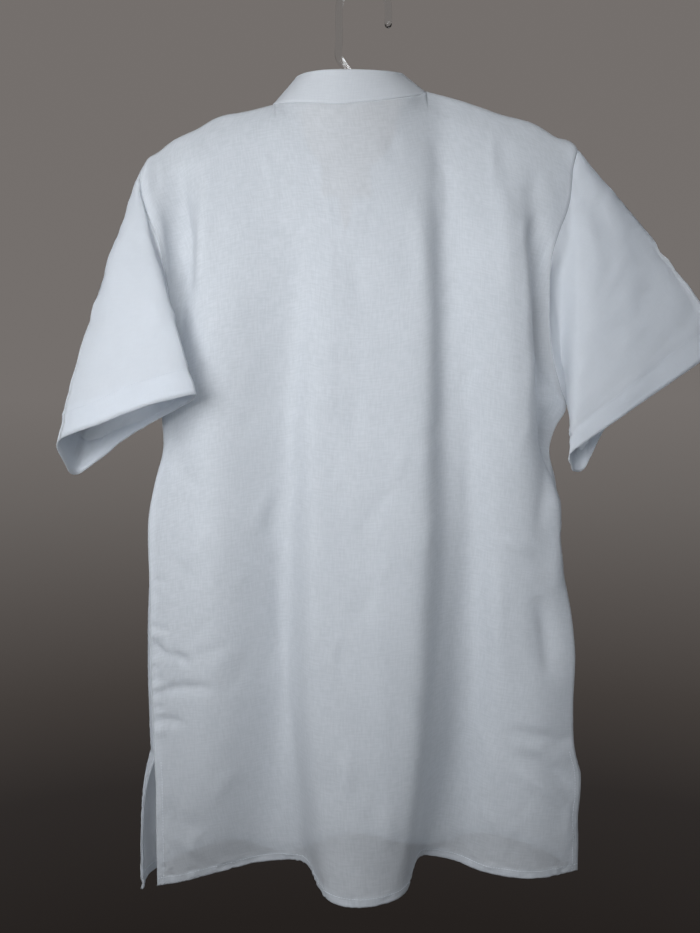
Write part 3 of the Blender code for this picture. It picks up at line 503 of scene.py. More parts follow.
def unit(vectors):
    """The vectors, each divided by its own length."""
    return vectors / np.maximum(np.linalg.norm(vectors, axis=-1, keepdims=True), 1e-12)


# %% [markdown]
# ## The shape of the back and the front
# A real panel hangs from the shoulder seam and the neck, and its sides are sewn. So the surface
# starts from the folds, which are smooth curves from hem to shoulder, one column of points for each
# place across. Then its rim is moved onto the shoulder, the neck and the side seams, with the move
# dying out inwards, and the top rolls over the shoulder on a quarter circle.

# %% Panel surface
FINER = 4
ROW_STEP = 0.0034


def columns_of(table):
    """The table as an array, and the grid's places across it, with every fold on a column."""
    rows = np.array(list(table.values()))
    across = rows[:, 0]
    steps = rows[:, FOLDS.index("steps")].astype(int) * FINER
    places = [np.linspace(a, b, n, endpoint=False) for a, b, n in zip(across[:-1], across[1:], steps)]
    return rows, np.concatenate(places + [[1.0]])


def fold_column(table, fold):
    """The grid column that a fold stands on."""
    return int(np.argmin(np.abs(columns_of(table)[1] - table[fold][0])))


def shoulder_z(x):
    """Height of the shoulder seam at x, on either side of the neck."""
    left = through(SHOULDER_LEFT[:, 0], SHOULDER_LEFT[:, 1], x)
    right = through(SHOULDER_RIGHT[:, 0], SHOULDER_RIGHT[:, 1], x)
    return np.where(x < NECK_X, left, right)


def top_edge(table, across, facing):
    """Top of a panel: shoulder seam, neck, shoulder seam. facing is -1 for the back."""
    left, low, right = NECK_FOLDS[facing]
    begin, middle, end = table[left][0], table[low][0], table[right][0]
    low_x = NECK_LOW_X if facing < 0 else PLACKET_X
    side_x = np.where(across < middle, NECK_LEFT[0], NECK_RIGHT[0])
    share = np.where(across < middle, (across - begin) / (middle - begin), (end - across) / (end - middle))
    angle = np.clip(share, 0.0, 1.0) * np.pi / 2
    seam_x = np.interp(across, [0.0, begin, end, 1.0],
                       [TIP_LEFT[0], NECK_LEFT[0], NECK_RIGHT[0], TIP_RIGHT[0]])
    x = np.where(share > 0, low_x + (side_x - low_x) * np.cos(angle), seam_x)
    low_y, low_z = NECK_BACK if facing < 0 else NECK_FRONT
    power = NECK_BACK_POWER if facing < 0 else 1.0
    side_z = np.where(x < NECK_X, NECK_LEFT[1], NECK_RIGHT[1])
    z = low_z + (side_z - low_z) * (1.0 - np.sin(angle))**power
    z = np.where(angle > 0, z, shoulder_z(x))
    return np.stack([x, low_y * np.sin(angle) + facing * SEAM_GAP / 2, z], axis=-1)


def side_edge(side, facing, z):
    """A panel's side at the given heights. The front's edge lies just outside the back's."""
    table = SIDES[side]
    xy = through(table[:, 0], table[:, 1:], z)
    above = ease((z - UNDERARM_Z[side]) / 0.03)[:, None]
    if facing > 0:
        seam = xy + np.array([side * SIDE_SEAM_X, SIDE_SEAM_Y])
        armhole = np.stack([xy[:, 0], -xy[:, 1]], axis=-1)
        xy = seam * (1 - above) + armhole * above
        if side < 0:
            swing = through(FRONT_SLIT_LEFT[:, 0], FRONT_SLIT_LEFT[:, 1:], z)
            xy = np.where(z[:, None] < FRONT_SLIT_LEFT[-1, 0], swing, xy)
    return np.stack([xy[:, 0], xy[:, 1] + facing * SEAM_GAP / 2 * above[:, 0], z], axis=-1)


def rows_up(length):
    """Places up a panel as shares: close at the hem and over the shoulder roll, even between."""
    low = np.arange(0.0, 0.0145, 0.0016)
    roll = np.array([0.0, 0.0003, 0.0008, 0.0016, 0.0027, 0.0042, 0.006, 0.008, 0.0105, 0.0135])
    high = length - roll[::-1]
    count = int((high[0] - low[-1]) / ROW_STEP)
    return np.concatenate([low, np.linspace(low[-1], high[0], count)[1:-1], high]) / length


def panel(table, facing):
    """Points of the back or the front, one row for each height and one column for each place."""
    rows, across = columns_of(table)
    knots = rows[:, 0]
    top = top_edge(table, across, facing)
    at_knot = np.searchsorted(across, knots - 1e-6)
    up = rows_up(top[0, 2] - HEM_Z)
    on_shoulder = 1.0 - ease((np.abs(top[:, 1]) - 0.001) / 0.02)
    lines = []
    for row, begin in zip(rows, at_knot):
        seam = top[begin] + np.array([0.0, facing * SHOULDER_ROLL * on_shoulder[begin], 0.0])
        heights = [HEM_Z, SLIT_Z, WAIST_Z, CHEST_Z, YOKE_Z, seam[2]]
        places = np.concatenate([row[1:11].reshape(5, 2), [seam[:2]]])
        z = HEM_Z + (seam[2] - HEM_Z) * up
        lines.append(np.column_stack([through(heights, places, z), z]))
    lines = np.array(lines)
    grid = np.stack([through(knots, lines[:, i], across) for i in range(len(up))])
    below = (top[:, 2] - HEM_Z) * (1.0 - up[:, None])
    grid[..., 2] = top[:, 2] - below
    goal = top + np.array([0.0, facing * SHOULDER_ROLL, 0.0]) * on_shoulder[:, None]
    grid[..., :2] += (goal - grid[-1])[:, :2] * ease(1.0 - below / 0.12)[..., None]
    for side, edge, share in ((-1, 0, across / knots[2]), (1, -1, (1.0 - across) / (1.0 - knots[-2]))):
        target = side_edge(side, facing, grid[:, edge, 2])
        target[:, 1] += facing * SHOULDER_ROLL * ease(1.0 - below[:, edge] / 0.03)
        grid += (target - grid[:, edge])[:, None] * (1.0 - ease(share))[None, :, None]
    rolled = np.clip(below / SHOULDER_ROLL, 0.0, 1.0)
    back_in = SHOULDER_ROLL * (1.0 - np.sqrt(1.0 - (1.0 - rolled)**2))
    grid[..., 1] -= facing * back_in * on_shoulder
    return grid


def drawn_smooth(grid, low_reach=0.009, high_reach=0.026):
    """Evens out each row's depth and height across, so that no fold has a hard edge.

    Both turn towards their mean under a bell curve across. The bell is narrow over most of the
    panel and wide at the yoke, where the shoulders draw the cloth tight. Sides and top keep theirs.
    """
    x = grid[..., 0]
    below = grid[-1, :, 2] - grid[..., 2]
    yoke = ease((below - 0.002) / 0.022) * ease((0.17 - below) / 0.10)
    reach = low_reach + (high_reach - low_reach) * yoke.mean(axis=1)[:, None, None]
    bell = np.exp(-((x[:, :, None] - x[:, None]) / reach)**2) * np.abs(np.gradient(x, axis=1))[:, None]
    mean = (bell @ grid[..., 1:]) / bell.sum(axis=2, keepdims=True)
    sides = ease((x - x[:, :1]) / 0.04) * ease((x[:, -1:] - x) / 0.04)
    share = ease((below - 0.001) / 0.016) * sides
    grid[..., 1:] += (mean - grid[..., 1:]) * share[..., None]
    return grid


back = drawn_smooth(panel(BACK_FOLDS, -1))
front = drawn_smooth(panel(FRONT_FOLDS, 1))
print("back grid", back.shape[:2], "front grid", front.shape[:2])


# %% The front's slot
def placket_open(z):
    """Half the gap between the two strips, where the top button is undone."""
    reach = (z - PLACKET_OPEN_Z) / (NECK_FRONT[1] - PLACKET_OPEN_Z)
    return PLACKET_OPEN_HALF * np.sqrt(ease(reach))


def with_slot(grid):
    """Moves the slot's edges to the placket, and says which of the grid's faces stay."""
    grid = grid.copy()
    across = columns_of(FRONT_FOLDS)[1]
    left = fold_column(FRONT_FOLDS, "slot_left")
    right = fold_column(FRONT_FOLDS, "slot_right")
    z = grid[:, left, 2]
    half = PLACKET_HALF + placket_open(z)
    in_slot = ease((z - PLACKET_END_Z) / 0.02 + 1.0)
    for column, side in ((left, -1), (right, 1)):
        shift = (PLACKET_X + side * half - grid[:, column, 0]) * in_slot
        reach = 1.0 - ease(side * (across - across[column]) / 0.12)
        reach = np.where(side * (across - across[column]) < 0, 0.0, reach)
        grid[..., 0] += shift[:, None] * reach[None]
    keep = np.ones((grid.shape[0] - 1, grid.shape[1] - 1), bool)
    keep[z[:-1] > PLACKET_END_Z - 0.004, left:right] = False
    return grid, keep


front, front_keep = with_slot(front)

# %% [markdown]
# ## Creases
# Ironed linen keeps soft creases where it hung and was packed. Each is one row of a table: where it
# starts and ends on the hanging cloth as x and height, how far it bows sideways, its half width and
# its depth. A ridge has a positive depth and a trough a negative one. The cloth is moved along its
# own normal by the sum of the creases, each a bell curve across and fading to nothing at its ends.


# %% Crease functions
def normals_of(grid, facing=None, closed=False):
    """Unit normals of a grid of points, from the cross product of its two directions."""
    if closed:
        wrapped = np.concatenate([grid[:, -2:], grid, grid[:, :2]], axis=1)
        across = np.gradient(wrapped, axis=1)[:, 2:-2]
    else:
        across = np.gradient(grid, axis=1)
    normal = unit(np.cross(across, np.gradient(grid, axis=0)))
    return normal if facing is None else normal * np.sign(facing)


def crease_heights(x, z, creases):
    """Sum of the creases at points x, z. Distance is taken to a bowed line of eight short pieces."""
    total = np.zeros(x.shape)
    t = np.linspace(0.0, 1.0, 9)
    for x0, z0, x1, z1, bow, width, depth in creases:
        length = np.hypot(x1 - x0, z1 - z0)
        side = bow * 4.0 * t * (1.0 - t)
        line_x = x0 + (x1 - x0) * t - (z1 - z0) / length * side
        line_z = z0 + (z1 - z0) * t + (x1 - x0) / length * side
        nearest = np.full(x.shape, np.inf)
        place = np.zeros(x.shape)
        for k in range(8):
            dx, dz = line_x[k + 1] - line_x[k], line_z[k + 1] - line_z[k]
            share = np.clip(((x - line_x[k]) * dx + (z - line_z[k]) * dz) / (dx * dx + dz * dz), 0.0, 1.0)
            away = (x - line_x[k] - share * dx)**2 + (z - line_z[k] - share * dz)**2
            closer = away < nearest
            nearest = np.where(closer, away, nearest)
            place = np.where(closer, t[k] + share / 8.0, place)
        fade = np.sin(np.pi * np.clip(place, 0.02, 0.98))**0.8
        total += depth * fade * np.exp(-nearest / width**2)
    return total


def soft_creases(seed, count, low, high, length, width, depth, lean=0.45):
    """Rows of small scattered creases, mostly upright, for the cloth between the main ones."""
    draw = np.random.default_rng(seed)
    x = draw.uniform(low[0], high[0], count)
    z = draw.uniform(low[1], high[1], count)
    half = draw.uniform(0.4, 1.0, count) * length / 2
    tilt = draw.normal(0.0, lean, count)
    dx, dz = np.sin(tilt) * half, np.cos(tilt) * half
    bow = draw.normal(0.0, 0.08, count) * length
    size = draw.uniform(0.6, 1.4, count)
    sign = draw.choice([-1.0, 1.0], count)
    return np.column_stack([x - dx, z - dz, x + dx, z + dz, bow, width * size, depth * sign * size])


SLOW_WAVES = (0.021, 0.037, 0.083)


def hem_ripples(seed, along, away, spacing, reach, depth, slant=0.6):
    """Short puckers beside a line of stitches, slanting, uneven in spacing and height.

    The phase is the length along the seam over the spacing, bent by slow waves, plus the slant
    times the distance away. The height dies out as a bell curve over the reach.
    """
    draw = np.random.default_rng(seed)

    def slow_wave(least, most, wave):
        """A sine of that length along the seam, with a random height and shift."""
        share = draw.uniform(least, most)
        return share * np.sin(2 * np.pi * along / wave + draw.uniform(0, 6.28))

    phase = along / spacing + slant * away / spacing
    size = np.full(np.shape(along), 0.55)
    for wave in SLOW_WAVES:
        phase = phase + slow_wave(0.25, 0.5, wave)
        size = size + slow_wave(0.1, 0.3, wave * 1.7)
    return depth * np.clip(size, 0.1, 1.2) * np.cos(2 * np.pi * phase) * np.exp(-(away / reach)**2)


# %% Creases of the back: x and z of both ends, bow, half width, depth
BACK_CREASES = [
    (-.2159, -.2040, -.2205, -.2350, 0.001, 0.0050, -.0016),
    (-.1970, -.1950, -.1880, -.3560, 0.002, 0.0130, -.0155),
    (-.1620, -.2050, -.1680, -.3400, 0.001, 0.0090, 0.0045),
    (-.0558, -.2054, -.0680, -.2880, 0.002, 0.0080, -.0018),
    (-.0410, -.2258, -.0348, -.2890, 0.001, 0.0050, 0.0012),
    (0.0523, -.2473, 0.0564, -.3513, 0.002, 0.0090, 0.0022),
    (0.0800, -.1400, 0.0820, -.6200, 0.002, 0.0130, -.0080),
    (0.1380, -.1900, 0.1400, -.3400, 0.001, 0.0110, 0.0030),
    (0.1720, -.2350, 0.2050, -.5600, 0.001, 0.0130, -.0200),
    (0.1600, -.2400, 0.1680, -.5000, 0.001, 0.0080, 0.0030),
    (0.1960, -.4850, 0.2000, -.6500, 0.000, 0.0110, 0.0085),
    (0.0980, -.5600, 0.0920, -1.060, 0.002, 0.0200, -.0085),
    (0.0672, -.1738, 0.0870, -.2340, 0.002, 0.0070, -.0012),
    (0.1339, -.1636, 0.1286, -.2391, 0.001, 0.0035, 0.0012),
    (0.1450, -.1700, 0.1420, -.2450, 0.001, 0.0080, -.0015),
    (-.1241, -.1900, -.1245, -.2110, 0.000, 0.0030, 0.0009),
    (-.0946, -.5298, -.0578, -.9205, -.008, 0.0070, -.0020),
    (0.0870, -.5480, 0.0513, -.9120, 0.006, 0.0080, -.0022),
    (-.2230, -.6330, -.2020, -.6350, 0.000, 0.0030, -.0022),
    (-.2230, -.6440, -.2080, -.6460, 0.000, 0.0028, -.0014),
    (-.2230, -.6560, -.2060, -.6570, 0.000, 0.0030, 0.0013),
    (-.2230, -.6785, -.1990, -.6850, -.002, 0.0032, -.0038),
    (-.2230, -.6870, -.2020, -.6890, 0.000, 0.0036, 0.0034),
    (-.2230, -.6945, -.1750, -.7120, -.005, 0.0042, -.0072),
    (-.2080, -.6990, -.1900, -.7150, -.001, 0.0038, 0.0047),
    (-.1760, -.7110, -.1400, -.6980, 0.002, 0.0060, -.0016),
    (-.2230, -.7090, -.2060, -.7110, 0.000, 0.0028, -.0025),
    (-.2230, -.7215, -.2090, -.7230, 0.000, 0.0028, -.0029),
    (-.2230, -.7330, -.2040, -.7330, 0.000, 0.0032, -.0025),
    (-.2230, -.7430, -.2000, -.7400, 0.000, 0.0030, 0.0025),
    (-.2230, -.7500, -.1500, -.7400, 0.004, 0.0050, -.0047),
    (-.2200, -.7620, -.2030, -.7620, 0.000, 0.0030, -.0025),
    (-.2200, -.7760, -.1800, -.7770, 0.002, 0.0040, -.0043),
    (-.2200, -.7870, -.2010, -.7840, 0.000, 0.0036, 0.0029),
    (-.1986, -.8880, -.1640, -.9200, 0.003, 0.0045, 0.0018),
    (-.2050, -.8500, -.1750, -.8900, 0.002, 0.0060, -.0015),
    (0.1320, -.5880, 0.1740, -.6080, 0.002, 0.0060, 0.0026),
    (0.1780, -.6460, 0.1900, -.7360, 0.004, 0.0110, -.0060),
    (0.1450, -.7880, 0.2160, -.8060, 0.004, 0.0070, -.0045),
    (0.1520, -.8080, 0.2170, -.8480, 0.005, 0.0070, -.0048),
    (0.1500, -.8260, 0.2100, -.8660, 0.003, 0.0065, 0.0030),
    (0.1250, -.6500, 0.1500, -.7300, -.003, 0.0090, 0.0018),
    (0.1900, -.4950, 0.1750, -.5900, 0.002, 0.0070, -.0018),
    (-.1980, -.4700, -.1800, -.5800, -.002, 0.0080, -.0016),
    (0.0100, -.6000, 0.0160, -.8400, 0.003, 0.0120, 0.0012),
    (-.0320, -.4300, -.0300, -.6200, 0.002, 0.0120, -.0010),
]
FRONT_CREASES = [
    (-.1500, -.2150, -.1600, -.3200, 0.002, 0.0090, 0.0028),
    (-.1800, -.2350, -.1780, -.3700, 0.003, 0.0110, -.0036),
    (-.0700, -.2600, -.0900, -.3700, 0.002, 0.0070, -.0016),
    (0.0600, -.2300, 0.0700, -.3600, 0.003, 0.0080, 0.0020),
    (0.0950, -.2100, 0.1000, -.3500, 0.002, 0.0100, -.0030),
    (0.1550, -.1900, 0.1500, -.2900, 0.001, 0.0070, 0.0020),
    (-.0100, -.4700, 0.0200, -.5600, 0.004, 0.0060, 0.0016),
    (-.0350, -.4700, -.0600, -.5700, 0.004, 0.0070, -.0016),
    (0.1900, -.6500, 0.1500, -.6700, 0.002, 0.0040, 0.0018),
    (0.1920, -.6800, 0.1600, -.7000, 0.002, 0.0040, -.0014),
    (-.2000, -.6900, -.1600, -.7100, 0.003, 0.0045, 0.0020),
    (-.2000, -.7200, -.1700, -.7350, 0.002, 0.0040, -.0014),
    (-.1000, -.6000, -.0700, -.8800, 0.006, 0.0100, -.0024),
    (0.0500, -.5600, 0.0400, -.9000, 0.005, 0.0090, -.0022),
    (0.1000, -.7000, 0.1500, -.7600, 0.005, 0.0070, 0.0022),
    (-.1900, -.8500, -.1500, -.8900, 0.003, 0.0050, 0.0016),
]

# %% [markdown]
# ## A cloth piece as a mesh
# A piece of cloth is one or more grids of points, each with its flat place in metres as a UV map, and
# a thin wall from a Solidify modifier. Turned hems and seam allowances are strips of the same cloth
# laid just inside the panel's edge: since the cloth is sheer, they show as whiter bands. Thread,
# buttons and the hanger are plain closed meshes from points and faces.


# %% Mesh functions
def placed(name, mesh):
    """An object for a finished mesh, at the origin and on the model's only body."""
    piece = bpy.data.objects.new(name, mesh)
    bpy.context.scene.collection.objects.link(piece)
    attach(piece, "root")
    return piece


def solid_object(name, points, faces, material, sharp=np.pi):
    """A closed mesh from points and faces, smooth but for edges that turn by more than sharp."""
    mesh = bpy.data.meshes.new(name)
    mesh.from_pydata(points.tolist(), [], faces)
    mesh.update()
    mesh.materials.append(material)
    mesh.shade_smooth()
    mesh.set_sharp_from_angle(angle=sharp)
    return placed(name, mesh)


def flat_places(grid, closed=False):
    """Places on the flat cloth: length across each row, and length along the columns, in metres."""
    ring = np.concatenate([grid, grid[:, :1]], axis=1) if closed else grid
    middle = ring.shape[1] // 2
    across = walked(np.swapaxes(ring, 0, 1)).T
    across = across - across[:, middle:middle + 1]
    along = walked(ring).mean(axis=1, keepdims=True) + np.zeros(ring.shape[:2])
    return np.stack([across, along], axis=-1)


def sheet_object(name, patches, material, thick=CLOTH_THICK):
    """One mesh from several grids, each (points, closed, keep, turned), with a wall of that thickness."""
    points, quads, places, flats = [], [], [], []
    first_point, first_place = 0, 0
    for grid, closed, keep, turned in patches:
        rows, columns = grid.shape[:2]
        index = np.arange(rows * columns).reshape(rows, columns)
        flat = flat_places(grid, closed)
        spot = np.arange(flat[..., 0].size).reshape(flat.shape[:2])
        ring = np.concatenate([index, index[:, :1]], axis=1) if closed else index
        corners = []
        for numbers in (ring, spot):
            cell = [numbers[:-1, :-1], numbers[:-1, 1:], numbers[1:, 1:], numbers[1:, :-1]]
            cell = np.stack(cell, axis=-1)
            cell = cell[keep] if keep is not None else cell.reshape(-1, 4)
            corners.append(cell[:, ::-1] if turned else cell)
        points.append(grid.reshape(-1, 3))
        flats.append(flat.reshape(-1, 2))
        quads.append(corners[0] + first_point)
        places.append(corners[1] + first_place)
        first_point += rows * columns
        first_place += spot.size
    points, flats = np.concatenate(points), np.concatenate(flats)
    quads, places = np.concatenate(quads), np.concatenate(places)
    used, index = np.unique(quads, return_inverse=True)
    mesh = bpy.data.meshes.new(name)
    mesh.vertices.add(len(used))
    mesh.vertices.foreach_set("co", points[used].astype(np.float32).ravel())
    mesh.loops.add(quads.size)
    mesh.loops.foreach_set("vertex_index", index.ravel().astype(np.int32))
    mesh.polygons.add(len(quads))
    mesh.polygons.foreach_set("loop_start", np.arange(0, quads.size, 4, dtype=np.int32))
    uv = mesh.uv_layers.new(name="cloth")
    uv.data.foreach_set("uv", flats[places.ravel()].astype(np.float32).ravel())
    mesh.update(calc_edges=True)
    mesh.validate()
    mesh.materials.append(material)
    mesh.shade_smooth()
    piece = placed(name, mesh)
    wall = piece.modifiers.new("thickness", "SOLIDIFY")
    wall.thickness = thick
    wall.offset = 0.0
    print(name, len(quads) * 4, "triangles with its wall")
    return piece


def turned_in(grid, normal, edge, width, gap):
    """A strip of the grid beside one edge, moved inwards by the gap: a turned hem or an allowance.

    edge is low for the first rows, left or right for the first or last columns. The strip reaches
    as far from the edge as its width, measured along the cloth.
    """
    if edge == "low":
        line = walked(grid).mean(axis=1)
        count = int(np.searchsorted(line, width)) + 1
        return (grid - normal * gap)[:count]
    low_third = grid.shape[0] // 3
    row = grid[low_third] if edge == "left" else grid[low_third, ::-1]
    count = int(np.searchsorted(walked(row), width)) + 1
    inside = grid - normal * gap
    return inside[:, :count] if edge == "left" else inside[:, -count:]


# %% [markdown]
# ## Stitches
# Lockstitch shows as short dashes with small gaps, sunk a little into the cloth. Each is a low
# lozenge of thread with six sides, and one row of them is one mesh made from a single template
# carried along the seam's line.

# %% Stitch function
STITCH_LENGTH = 0.0021
STITCH_PITCH = 0.0027
STITCH_RADIUS = 0.00020


def stitch_row(points, normal):
    """Vertices and faces of the stitches along a line of points, sitting on the side of its normal.

    The line is read at even lengths. At each of them the template, a six-sided spindle of four
    rings, is turned to the line's direction and the cloth's normal.
    """
    length = walked(points)
    count = max(2, int(length[-1] / STITCH_PITCH))
    at = (np.arange(count) + 0.5) * length[-1] / count

    def read(values):
        """The line's values at the stitches' places."""
        return np.stack([np.interp(at, length, column) for column in values.T], axis=-1)

    place = read(points)
    up = unit(read(normal))
    ahead = unit(read(np.gradient(points, length, axis=0)))
    aside = unit(np.cross(up, ahead))
    turn = np.arange(6) * np.pi / 3
    rings = np.array([(-0.5, 0.45), (-0.2, 1.0), (0.2, 1.0), (0.5, 0.45)])
    along = np.repeat(rings[:, 0], 6) * STITCH_LENGTH
    wide = np.repeat(rings[:, 1], 6) * STITCH_RADIUS
    out, off = np.tile(np.cos(turn), 4) * wide, np.tile(np.sin(turn), 4) * wide
    shape = (ahead[:, None] * along[None, :, None] + aside[:, None] * off[None, :, None]
             + up[:, None] * out[None, :, None])
    vertices = place[:, None] + shape
    ring = np.arange(24).reshape(4, 6)
    after = np.roll(ring, -1, axis=1)
    quads = np.stack([ring[:-1], after[:-1], after[1:], ring[1:]], axis=-1).reshape(-1, 4)
    caps = np.array([[0, 5, 4, 3], [3, 2, 1, 0], [18, 19, 20, 21], [21, 22, 23, 18]])
    quads = np.concatenate([quads, caps])
    quads = (quads[None] + 24 * np.arange(count)[:, None, None]).reshape(-1, 4)
    return vertices.reshape(-1, 3), quads


def stitching(name, rows):
    """One object from several rows of stitches, each a line of points and its normals."""
    points, quads, first = [], [], 0
    for line, normal in rows:
        some, faces = stitch_row(line, normal)
        points.append(some)
        quads.append(faces + first)
        first += len(some)
    piece = solid_object(name, np.concatenate(points), np.concatenate(quads).tolist(), thread)
    print(name, len(piece.data.polygons) * 2, "triangles")
    return piece


def seam_line(grid, normal, edge, inset, lift=CLOTH_THICK * 0.5):
    """A line of points on the cloth at that distance from an edge, and the normals there."""
    if edge in ("low", "high"):
        along = grid if edge == "low" else grid[::-1]
        facing = normal if edge == "low" else normal[::-1]
    else:
        along = np.swapaxes(grid if edge == "left" else grid[:, ::-1], 0, 1)
        facing = np.swapaxes(normal if edge == "left" else normal[:, ::-1], 0, 1)
    reach = walked(along)
    share = np.minimum((reach < inset).sum(axis=0) - 1, len(reach) - 2)
    column = np.arange(along.shape[1])
    near, far = reach[share, column], reach[share + 1, column]
    t = ((inset - near) / (far - near))[:, None]
    points = along[share, column] * (1 - t) + along[share + 1, column] * t
    return points + facing[share, column] * lift, facing[share, column]


# %% [markdown]
# ## The back
# The back is one piece of cloth from the collar seam to a narrow rolled hem, open at the slits. Its
# creases come from the table above, with smaller ones scattered between them. Along the hem and the
# slit edges the stitches draw the cloth into short slanting puckers.

# %% Back panel
HEM_WIDTH = 0.0085
SLIT_HEM_WIDTH = 0.0080
ALLOWANCE_GAP = 0.0007
NECK_GROOVE = 0.0011
SCATTERED = {"count": 110, "length": 0.075, "width": 0.0065, "depth": 0.0012}
FINE = {"count": 170, "length": 0.030, "width": 0.0034, "depth": 0.00048, "lean": 1.2}
HEM_RIPPLES = {"spacing": 0.0085, "reach": 0.008, "depth": 0.0011}
SLIT_RIPPLES = {"spacing": 0.0080, "reach": 0.009, "depth": 0.00080}


def crumpled(grid, normal, creases, seeds, hold):
    """Moves the cloth along its normal by its creases, which die out where a seam holds it."""
    x, z = grid[..., 0], grid[..., 2]
    low, high = (x.min(), z.min()), (x.max(), z.max())
    height = crease_heights(x, z, creases)
    for seed, kind in zip(seeds, (SCATTERED, FINE)):
        height = height + crease_heights(x, z, soft_creases(seed, low=low, high=high, **kind))
    return grid + normal * (height * hold)[..., None]


def edge_distances(grid):
    """Distance from each of the panel's sides and its top, measured along the cloth."""
    across = walked(np.swapaxes(grid, 0, 1)).T
    along = walked(grid)
    return across, across[:, -1:] - across, along[-1:] - along


def panel_cloth(grid, facing, creases, seeds):
    """The creased panel: main creases, scattered ones, and puckers along the hem and side edges."""
    normal = normals_of(grid, -facing)
    normal = normal * np.sign((normal[..., 1] * facing).mean())
    from_left, from_right, from_top = edge_distances(grid)
    sewn = grid[..., 2] > SLIT_Z
    nearest = np.where(sewn, np.minimum(from_left, from_right), 1.0)
    hold = ease(np.minimum(nearest / 0.003, from_top / 0.010))
    grid = crumpled(grid, normal, creases, seeds, hold)
    from_hem = walked(grid)
    height = hem_ripples(seeds[2], from_left, from_hem - HEM_WIDTH * 0.6, **HEM_RIPPLES)
    slit = 1.0 - ease((grid[..., 2] - SLIT_Z) / 0.03)
    below_arm = ease((-grid[..., 2] - 0.46) / 0.03)
    for number, away in enumerate((from_left, from_right)):
        rough = hem_ripples(seeds[3] + number, from_hem, away - SLIT_HEM_WIDTH * 0.8, **SLIT_RIPPLES)
        height = height + rough * (0.35 + 0.65 * slit) * ease(away / 0.004) * below_arm
    groove = NECK_GROOVE * np.exp(-(from_top / 0.0018)**2)
    grid = grid + normal * (height - groove)[..., None]
    return grid, normal


back, back_normal = panel_cloth(back, -1, BACK_CREASES, (11, 12, 13, 14))
front, front_normal = panel_cloth(front, 1, FRONT_CREASES, (21, 22, 23, 24))


def panel_patches(grid, normal, keep, turned):
    """The panel, its turned hem, and the allowances along its sides."""
    hem = turned_in(grid, normal, "low", HEM_WIDTH, ALLOWANCE_GAP)
    left = turned_in(grid, normal, "left", SLIT_HEM_WIDTH, ALLOWANCE_GAP * 1.8)
    right = turned_in(grid, normal, "right", SLIT_HEM_WIDTH, ALLOWANCE_GAP * 1.8)
    return [(grid, False, keep, turned)] + [(strip, False, None, turned) for strip in (hem, left, right)]


back_panel = sheet_object("back_cloth", panel_patches(back, back_normal, None, False), sheer_linen)
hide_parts("back_panel")


def panel_seams(grid, normal):
    """Rows of stitches along the hem and the slits."""
    low = int(np.searchsorted(grid[:, 0, 2], SLIT_Z))
    rows = [seam_line(grid, normal, "low", HEM_WIDTH * 0.86)]
    for edge in ("left", "right"):
        line, facing = seam_line(grid, normal, edge, SLIT_HEM_WIDTH * 0.86)
        rows.append((line[:low], facing[:low]))
    return rows


back_stitches = stitching("back_stitches", panel_seams(back, back_normal))

# %% [markdown]
# ## The front
# The front is cut as the back is, with a slot down from the neck. Its neckline is lower.

# %% Front panel
front_panel = sheet_object("front_cloth", panel_patches(front, front_normal, front_keep, True), linen)
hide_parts("front_panel")
front_stitches = stitching("front_stitches", panel_seams(front, front_normal))

# %% [markdown]
# ## The sleeves
# Each sleeve is a tube from the armhole to the cuff. Its first ring is the panels' own edge, so the
# seam is shut all round. From there each line of the sleeve runs on a smooth bend through its place
# at mid sleeve to its place at the cuff. The deep hem is turned to the inside and stitched.

# %% Sleeve surface
SLEEVE_HEM = 0.027
SLEEVE_ROW_STEP = 0.0034
SEAM_DIP = 0.0010
STITCH_DIP = 0.0008
CUFF_RIPPLES = {"spacing": 0.0090, "reach": 0.008, "depth": 0.0011}


def ring_through(points, places):
    """A closed smooth ring through the points, read at places counted in points."""
    count = len(points)
    wrapped = np.concatenate([points[-3:], points, points[:3]])
    return through(np.arange(-3, count + 3), wrapped, places)


def armhole_ring(side, table):
    """The armhole's points, down the back's edge and up the front's, and their places in the table."""
    edge = 0 if side < 0 else -1
    underarm = UNDERARM_Z[side]
    down = back[::-1, edge]
    up = front[:, edge]
    down = down[down[:, 2] > underarm + UNDERARM_CLEAR]
    up = up[up[:, 2] > underarm + UNDERARM_CLEAR]
    tip = 0.5 * (down[0] + up[-1])
    low = 0.5 * (side_edge(side, -1, np.array([underarm])) + side_edge(side, 1, np.array([underarm])))[0]
    ring = np.concatenate([[tip], down[1:], [low], up[:-1]])
    lines = np.array([row[0] for row in table.values()])
    under = list(table).index("underarm")
    half = len(down)
    along_back = np.interp(-ring[:half + 1, 2], -lines[:under + 1], np.arange(under + 1))
    arm = np.append(lines[under:], lines[0])
    along_front = np.interp(ring[half + 1:, 2], arm, np.arange(under, under + len(arm)))
    return ring, np.concatenate([along_back, along_front])


def even_ring(points, places, count):
    """The ring read again at even lengths, starting from the shoulder tip."""
    closed = np.concatenate([points, points[:1]])
    length = walked(closed)
    at = np.linspace(0.0, length[-1], count, endpoint=False)
    ring = np.stack([np.interp(at, length, closed[:, k]) for k in range(3)], axis=-1)
    return ring, np.interp(at, length, np.append(places, 10.0))


